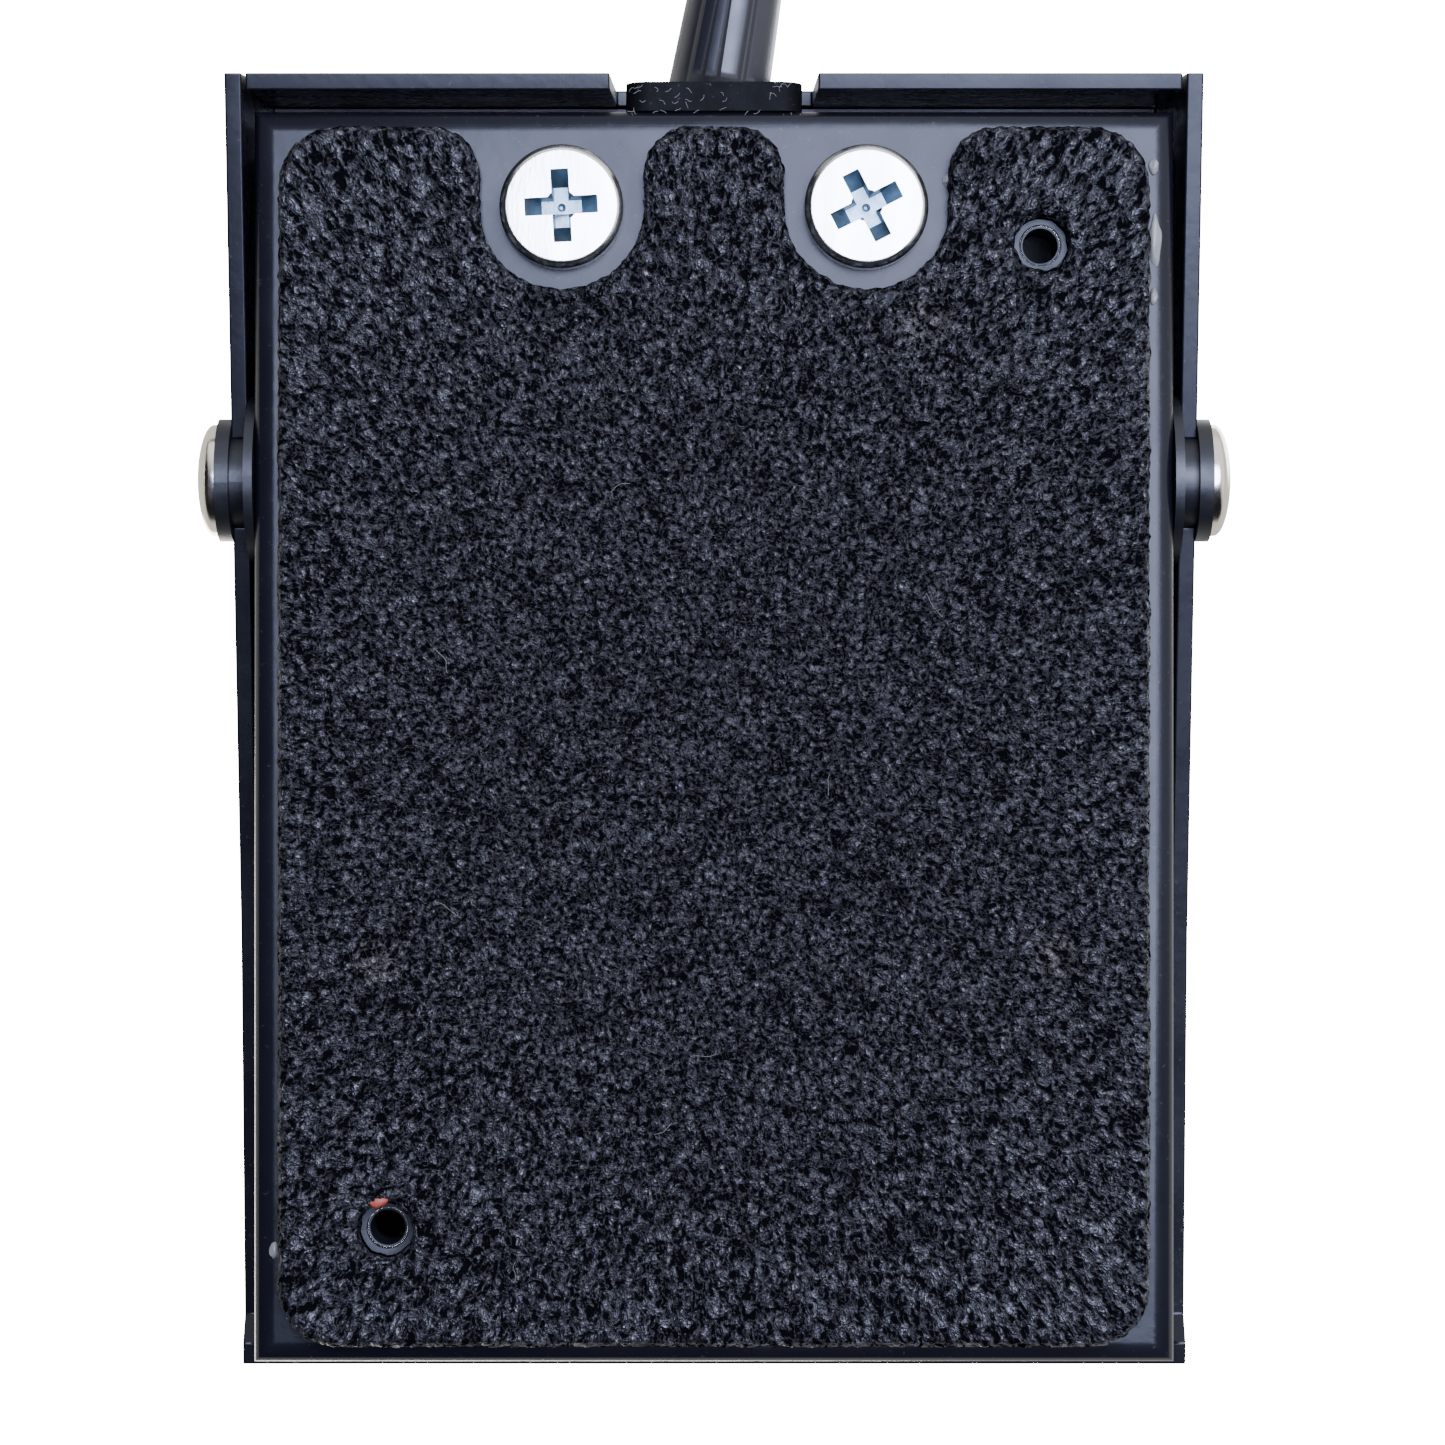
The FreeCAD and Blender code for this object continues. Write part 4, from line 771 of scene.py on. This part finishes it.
def bake_modifiers(piece: bpy.types.Object) -> None:
    """Apply a piece's modifiers to its mesh."""
    graph = bpy.context.evaluated_depsgraph_get()
    done = bpy.data.meshes.new_from_object(piece.evaluated_get(graph))
    piece.modifiers.clear()
    piece.data = done
    piece.data.polygons.foreach_set("use_smooth", [True] * len(done.polygons))
    piece.data.set_sharp_from_angle(angle=math.radians(30))


@dataclass
class Pressings:
    """The pressed and moulded shells, with their edges broken."""

    steel_edge: float = 0.16
    rubber_edge: float = 0.5
    vinyl_edge: float = 0.45
    boot_starts: float = 46.25

    def build(self) -> None:
        """Build the pan, the treadle shell, the tread and the strain relief."""
        pan = eased_copy("base_pan", self.steel_edge, 3)
        settle(pan, "base", Finishes.ENAMEL, "painted_steel", "base_pan")
        shell = eased_copy("treadle_shell", self.steel_edge, 3)
        settle(shell, "treadle", Finishes.ENAMEL, "painted_steel", "treadle_shell")
        tread = eased_copy("tread_rubber", self.rubber_edge, 3)
        settle(tread, "treadle", Finishes.TREAD, "tread_rubber", "tread_rubber")
        relief = eased_copy("strain_relief", self.vinyl_edge, 3)
        settle(relief, "base", Finishes.SPARKED, "black_vinyl", "strain_relief")
        relief.data.materials.append(Finishes.VINYL.value.build())
        for face in relief.data.polygons:
            lowest = min(relief.data.vertices[index].co.y for index in face.vertices)
            face.material_index = int(lowest > self.boot_starts * MM)


@dataclass
class PivotScrews:
    """Domed pivot screws with a round socket in the dome, one each side (millimetres)."""

    along: float = 18.4
    height: float = 8.5
    under: float = 35.55
    head: float = 4.0
    dome: float = 1.5
    pin: float = 2.5
    pin_long: float = 8.5
    socket: float = 1.5
    socket_deep: float = 1.0
    socket_break: float = 0.12
    brim: float = 0.35
    dome_starts: float = 0.40
    dome_steps: int = 10

    def build(self) -> None:
        """Build both screws."""
        for sign in (1, -1):
            crown = [(0.0, self.dome - self.socket_deep), (self.socket * 0.9, self.dome - self.socket_deep)]
            crown.append((self.socket, self.dome - self.socket_break))
            arc = [
                (self.head * math.sin(turn), self.brim + (self.dome - self.brim) * math.cos(turn))
                for turn in np.linspace(self.dome_starts, math.pi / 2, self.dome_steps)
            ]
            outline = crown + arc + [(self.head, 0.0), (self.pin, 0.0), (self.pin, -self.pin_long),
                                     (0.0, -self.pin_long)]
            place = facing(Vector((sign * self.under, self.along, self.height)) * MM, Vector((sign, 0, 0)))
            side = "right" if sign > 0 else "left"
            screw = lathe("pivot_screw_" + side, outline, place, 72)
            settle(screw, "base", Finishes.NICKEL, "nickel")
        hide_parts("pivot_screws")


@dataclass
class Cable:
    """The cable from the boot to the stored coil and on to its phone plug (millimetres)."""

    thickness: float = 5.0
    tip: tuple[float, float, float] = (-3.8735, 66.9938, 8.2)
    lean: float = 9.8
    centre: tuple[float, float] = (31.6, 108.0)
    mean: float = 30.0
    pitch: float = 5.1
    columns: int = 5
    lift: float = 0.6
    plug_height: float = 6.2
    plug_reach: float = 26.0
    per_turn: int = 24
    shift: float = 1 / 6
    pin: float = 3.175
    grip: float = 5.75
    boot_ribs: int = 5
    grip_ribs: int = 11

    def turn_points(self) -> list[Vector]:
        """Wind the coil: columns inwards on the floor, then outwards on top."""
        half = (self.columns - 1) / 2
        rings = [self.mean + (half - index) * self.pitch for index in range(self.columns)]
        order = [(ring, 0) for ring in rings] + [(ring, 1) for ring in reversed(rings)]
        bottom = self.lift + self.thickness / 2
        points = []
        for number, (ring, layer) in enumerate(order):
            last = number == len(order) - 1
            after_ring, after_layer = order[min(number + 1, len(order) - 1)]
            steps = self.per_turn // 2 if last else self.per_turn
            for step in range(steps):
                part = step / self.per_turn
                slide = 0.0 if last else max(0.0, (part - (1 - self.shift)) / self.shift)
                ease = slide * slide * (3 - 2 * slide)
                radius = ring + (after_ring - ring) * ease
                level = bottom + (layer + (after_layer - layer) * ease) * self.pitch
                turn = math.pi - 2 * math.pi * part
                wide = radius / math.cos(math.pi / self.per_turn) ** 0.5
                points.append(Vector((self.centre[0] + wide * math.cos(turn),
                                      self.centre[1] + wide * math.sin(turn), level)))
        return points

    def route(self) -> list[Vector]:
        """Give the whole cable's control points in millimetres."""
        lean = math.radians(self.lean)
        tip = Vector(self.tip)
        outer = self.mean + (self.columns - 1) / 2 * self.pitch
        row = self.centre[0] + outer
        top = self.lift + self.pitch + self.thickness / 2
        floor = self.thickness / 2
        start = [
            tip,
            tip + Vector((-math.sin(lean), math.cos(lean), 0)) * 10,
            Vector((-7.6, 88.0, 4.4)),
            Vector((-8.7, 98.5, floor + 0.2)),
        ]
        end = [
            Vector((row, self.centre[1] + 2.0, top)),
            Vector((row, self.centre[1] - 8.0, top)),
            Vector((row, self.centre[1] - 17.0, self.plug_height)),
            Vector((row, self.centre[1] - self.plug_reach, self.plug_height)),
        ]
        return start + self.turn_points() + end

    def spline_length(self, run: bpy.types.Curve) -> float:
        """Measure a curve's smooth line in metres, on a copy with no thickness."""
        thin = run.copy()
        thin.bevel_depth = 0.0
        thread = bpy.data.objects.new("cable_thread", thin)
        bpy.context.scene.collection.objects.link(thread)
        graph = bpy.context.evaluated_depsgraph_get()
        line = bpy.data.meshes.new_from_object(thread.evaluated_get(graph))
        spots = [vert.co.copy() for vert in line.vertices]
        bpy.data.meshes.remove(line)
        bpy.data.objects.remove(thread)
        bpy.data.curves.remove(thin)
        return sum((after - before).length for before, after in zip(spots, spots[1:]))

    def build(self) -> None:
        points = [point * MM for point in self.route()]
        data = bpy.data.curves.new("cable_run", "CURVE")
        data.dimensions = "3D"
        data.bevel_depth = self.thickness / 2 * MM
        data.bevel_resolution = 6
        data.resolution_u = 6
        data.use_fill_caps = True
        spline = data.splines.new("NURBS")
        spline.points.add(len(points) - 1)
        for spot, point in zip(spline.points, points):
            spot.co = (*point, 1.0)
        spline.order_u = 3
        spline.use_endpoint_u = True
        cable = bpy.data.objects.new("cable_run", data)
        bpy.context.scene.collection.objects.link(cable)
        settle(cable, "base", Finishes.VINYL, "black_vinyl", "cable", "cable_coil", "cable_end")
        length = self.spline_length(data)
        LOG.info("the cable is %.3f m long", length)
        tie = eased_copy("coil_tie", 0.2)
        settle(tie, "base", Finishes.NYLON, "tie_vinyl", "coil_tie")
        pieces = [tie, *self.plug()]

    def plug(self) -> list[bpy.types.Object]:
        """Build the plug's boot, ribbed handle and turned tip."""
        row = self.centre[0] + self.mean + (self.columns - 1) / 2 * self.pitch
        start = self.centre[1] - self.plug_reach

        def at(offset: float) -> Matrix:
            """Give the plug axis's frame at a distance from its boot's end."""
            return facing(Vector((row, start - offset, self.plug_height)) * MM, Vector((0, -1, 0)))

        ribs = [(0.0, 0.0), (2.9, 0.0), (3.2, 0.4)]
        for index in range(self.boot_ribs):
            level = 1.6 + index * 2.1
            grow = index * 0.17
            ribs += [(3.2 + grow, level), (2.75 + grow, level + 0.25), (2.75 + grow, level + 0.9),
                     (3.3 + grow, level + 1.15)]
        ribs += [(4.1, 13.0), (0.0, 13.0)]
        boot = lathe("plug_boot_ribbed", ribs, at(0.0), 48)
        settle(boot, "base", Finishes.VINYL, "black_vinyl", "plug_strain_relief")

        groove = self.grip - 0.3
        grip = [(0.0, 0.0), (4.6, 0.0), (5.6, 0.9), (self.grip, 2.0)]
        for index in range(self.grip_ribs):
            level = 4.0 + index * 1.5
            grip += [(self.grip, level), (groove, level + 0.25), (groove, level + 0.75),
                     (self.grip, level + 1.0)]
        grip += [(self.grip, 25.0), (5.5, 26.6), (5.1, 27.0), (0.0, 27.0)]
        handle = lathe("plug_handle_ribbed", grip, at(13.0), 64)
        settle(handle, "base", Finishes.VINYL, "plug_moulding", "plug_handle")

        nose = [(0.0, 0.0), (self.pin, 0.0), (self.pin, 0.6), (2.1, 2.9), (2.1, 3.3), (2.95, 4.9), (2.9, 5.5),
                (1.9, 7.6), (0.9, 8.8), (0.0, 9.0)]
        tip = lathe("plug_tip_turned", nose, at(65.0), 48)
        settle(tip, "base", Finishes.NICKEL, "nickel", "plug_tip")
        return [boot, handle, tip]


def frame_nodes(*names: str) -> list[bpy.types.Object]:
    """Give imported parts' objects by name."""
    return [bpy.data.objects[name] for name in names]


@dataclass
class Marks:
    """What use and making have left: adhesive beads, a chip in the enamel, and lint (millimetres)."""

    beads: tuple[tuple[float, float, float, float], ...] = (
        (-25.3, 42.7, 0.9, 0.35), (-31.0, 40.2, 0.35, 0.6),
        (-31.1, 34.9, 0.42, 1.7), (-31.0, 31.0, 0.25, 0.6),
        (-16.5, 39.2, 0.4, 0.5), (26.0, -42.6, 0.7, 0.35),
        (22.4, -42.8, 0.45, 0.3), (31.0, -36.2, 0.35, 0.6),
    )
    bead_tall: float = 0.32
    flakes: tuple[tuple[tuple[float, float, float], tuple[float, float, float]], ...] = (
        ((23.6, -32.5, 0.30), (0.75, 0.45, 0.16)),
        ((24.3, -32.2, 0.32), (0.35, 0.22, 0.12)),
    )
    fibres: int = 8
    fuzz: int = 46
    fibre_thick: float = 0.04
    pan_level: float = 2.5

    def build(self) -> None:
        """Build the beads, the chip and the fibres."""
        random = np.random.default_rng(7)
        self.bead_group(random)
        self.chip(random)
        self.lint(random)

    def blob(self, mesh: bmesh.types.BMesh, spot: Vector, reach: tuple[float, float, float],
             random: np.random.Generator) -> None:
        """Add one small uneven drop to a bmesh."""
        made = bmesh.ops.create_icosphere(mesh, subdivisions=3, radius=1.0)
        phase = random.random(3) * 10
        for vert in made["verts"]:
            swell = 1 + 0.35 * noise.noise(vert.co * 1.3 + Vector(phase))
            vert.co = Vector((vert.co.x * reach[0], vert.co.y * reach[1], vert.co.z * reach[2])) * swell
            vert.co = (vert.co + spot) * MM

    def bead_group(self, random: np.random.Generator) -> None:
        """Squeeze beads of clear adhesive out at the pad's edge."""
        mesh = bmesh.new()
        for across, along, wide, long in self.beads:
            spot = Vector((across, along, self.pan_level - 0.05))
            self.blob(mesh, spot, (wide, long, self.bead_tall), random)
        beads = new_object("adhesive_beads", mesh, 180.0)
        settle(beads, "base", Finishes.ADHESIVE, "pebbled_rubber")

    def chip(self, random: np.random.Generator) -> None:
        """Leave a flake of red primer beside the front mounting hole."""
        mesh = bmesh.new()
        for spot, reach in self.flakes:
            self.blob(mesh, Vector(spot), reach, random)
        chip = new_object("primer_flake", mesh, 180.0)
        settle(chip, "base", Finishes.PRIMER, "pebbled_rubber")

    def lint(self, random: np.random.Generator) -> None:
        """Scatter a few curled fibres over the pad and short ones over the relief's flange."""
        data = bpy.data.curves.new("lint_fibres", "CURVE")
        data.dimensions = "3D"
        data.bevel_depth = self.fibre_thick / 2 * MM
        data.bevel_resolution = 1
        data.resolution_u = 4
        fields = [((-28.0, 28.0), (-40.0, 32.0), 0.04, 0.45)] * self.fibres
        fields += [((-6.2, 6.2), (42.6, 46.2), self.pan_level + 0.62, 0.13)] * self.fuzz
        for across, along, level, step in fields:
            self.fibre(data, random, np.array([random.uniform(*across), random.uniform(*along)]), level, step)
        lint = bpy.data.objects.new("lint_fibres", data)
        bpy.context.scene.collection.objects.link(lint)
        settle(lint, "base", Finishes.LINT, "pebbled_rubber")

    def fibre(self, data: bpy.types.Curve, random: np.random.Generator, spot: np.ndarray, level: float,
              step: float) -> None:
        """Add one curled fibre to a curve, starting at a spot and lying at a level."""
        heading = random.uniform(0, math.tau)
        spline = data.splines.new("NURBS")
        spline.points.add(4)
        for index, point in enumerate(spline.points):
            point.co = (spot[0] * MM, spot[1] * MM, (level + 0.03 * (index % 2)) * MM, 1.0)
            heading += random.normal(0, 0.5)
            spot = spot + np.array([math.cos(heading), math.sin(heading)]) * random.uniform(0.5, 1.5) * step
        spline.order_u = 3
        spline.use_endpoint_u = True


@dataclass
class Studio:
    """Floor, sky, lights and the camera under the pedal (metres)."""

    reach: float = 0.300
    underside: float = 0.0025
    aim: tuple[float, float] = (-0.0006, 0.0010)
    lens: float = 106.0
    floor_size: float = 6.0
    paper: float = 20.0
    wall_side: tuple[float, float, float] = (-0.62, 0.78, 0.0)
    wall_light: tuple[float, float, float, float] = (1.45, 1.50, 1.70, 1.0)

    def build(self) -> None:
        """Set the whole stage."""
        self.camera()
        self.floor()
        self.sky()
        self.lights()

    def camera(self) -> None:
        """Look straight up at the underside, with the cable end at the top of the frame."""
        data = bpy.data.cameras.new("camera")
        data.lens = self.lens
        data.sensor_width = 36.0
        data.clip_start = 0.01
        data.clip_end = 20.0
        camera = bpy.data.objects.new("camera", data)
        camera.location = (*self.aim, self.underside - self.reach)
        camera.rotation_euler = (0.0, math.pi, 0.0)
        bpy.context.scene.collection.objects.link(camera)
        bpy.context.scene.camera = camera

    def floor(self) -> None:
        """Lay a pale floor that is clear from below, as a glass table would be."""
        mesh = bmesh.new()
        bmesh.ops.create_grid(mesh, x_segments=8, y_segments=8, size=self.floor_size / 2)
        floor = new_object("floor", mesh)
        floor.location.z = -0.0002
        material = bpy.data.materials.new("pale floor")
        material.use_nodes = True
        tree = material.node_tree
        tree.nodes.clear()
        place = add_node(tree, "TexCoord").outputs["Object"]
        cloud = add_node(tree, "TexNoise", {"Vector": place, "Scale": 2.0, "Detail": 3.0})
        tone = add_node(tree, "Mix", {0: cloud.outputs["Fac"], 6: linear("dedede"), 7: linear("e6e6e5")},
                        data_type="RGBA")
        paint = add_node(tree, "BsdfPrincipled", {"Base Color": tone.outputs[2], "Roughness": 0.8})
        clear = add_node(tree, "BsdfTransparent")
        back = add_node(tree, "NewGeometry").outputs["Backfacing"]
        choice = add_node(tree, "MixShader", {0: back, 1: paint.outputs["BSDF"], 2: clear.outputs["BSDF"]})
        add_node(tree, "OutputMaterial", {"Surface": choice.outputs["Shader"]})
        floor.data.materials.append(material)
        floor.visible_shadow = False
        floor.visible_diffuse = False
        floor.visible_glossy = False
        floor.visible_transmission = False

    def sky(self) -> None:
        """Light the room white from above, dark from below and bright at one wall.

        The camera itself sees brighter paper behind the pedal.
        """
        world = bpy.data.worlds.new("room")
        bpy.context.scene.world = world
        world.use_nodes = True
        tree = world.node_tree
        tree.nodes.clear()
        way = add_node(tree, "TexCoord").outputs["Generated"]
        height = add_node(tree, "SeparateXYZ", {"Vector": way}).outputs["Z"]
        facing_wall = add_node(tree, "VectorMath", {0: way, 1: self.wall_side}, operation="DOT_PRODUCT")
        wall = add_node(tree, "MapRange", {
            "Value": facing_wall.outputs["Value"], "From Min": -0.05, "From Max": 0.50,
        })
        room = add_node(tree, "Mix", {0: wall.outputs["Result"], 6: linear("1c1c22"), 7: self.wall_light},
                        data_type="RGBA")
        part = add_node(tree, "MapRange", {"Value": height, "From Min": 0.03, "From Max": 0.25})
        tone = add_node(tree, "Mix", {0: part.outputs["Result"], 6: room.outputs[2], 7: linear("ffffff")},
                        data_type="RGBA")
        light = add_node(tree, "Background", {"Color": tone.outputs[2], "Strength": 1.0})
        paper = add_node(tree, "Background", {"Color": linear("ffffff"), "Strength": self.paper})
        seen = add_node(tree, "LightPath").outputs["Is Camera Ray"]
        above = add_node(tree, "Math", {0: seen, 1: part.outputs["Result"]}, operation="MULTIPLY")
        choice = add_node(tree, "MixShader", {0: above.outputs["Value"], 1: light.outputs["Background"],
                                              2: paper.outputs["Background"]})
        add_node(tree, "OutputWorld", {"Surface": choice.outputs["Shader"]})

    def lights(self) -> None:
        """Hang one soft light below the pedal and two above it."""
        plans = (
            ("under_key", (-0.105, 0.095, -0.60), 0.43, 10.0, "cdd8ff"),
            ("over_key", (0.25, -0.30, 0.80), 0.60, 8.0, "fff4e8"),
            ("over_fill", (-0.40, 0.35, 0.60), 0.60, 5.0, "eaf1ff"),
        )
        for name, spot, size, power, tint in plans:
            data = bpy.data.lights.new(name, "AREA")
            data.shape = "DISK"
            data.size = size
            data.energy = power
            data.color = linear(tint)[:3]
            light = bpy.data.objects.new(name, data)
            light.location = spot
            light.rotation_euler = (math.pi if spot[2] < 0 else 0.0, 0.0, 0.0)
            light.visible_camera = False
            bpy.context.scene.collection.objects.link(light)


def dress_frame() -> None:
    """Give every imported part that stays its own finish."""
    for finish, names in FRAME_FINISHES.items():
        for part in frame_nodes(*names):
            finish.dress(part)
            LOG.info("%s has %s", part.name, finish.value.name)


def main() -> None:
    """Build the scene in order."""
    logging.basicConfig(level=logging.INFO, format="%(message)s")
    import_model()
    Studio().build()
    Cable().build()
    dress_frame()
    Pressings().build()
    AntiSlipPad().build()
    BaseFasteners().build()
    PivotScrews().build()
    Marks().build()


if __name__ == "__main__":
    main()
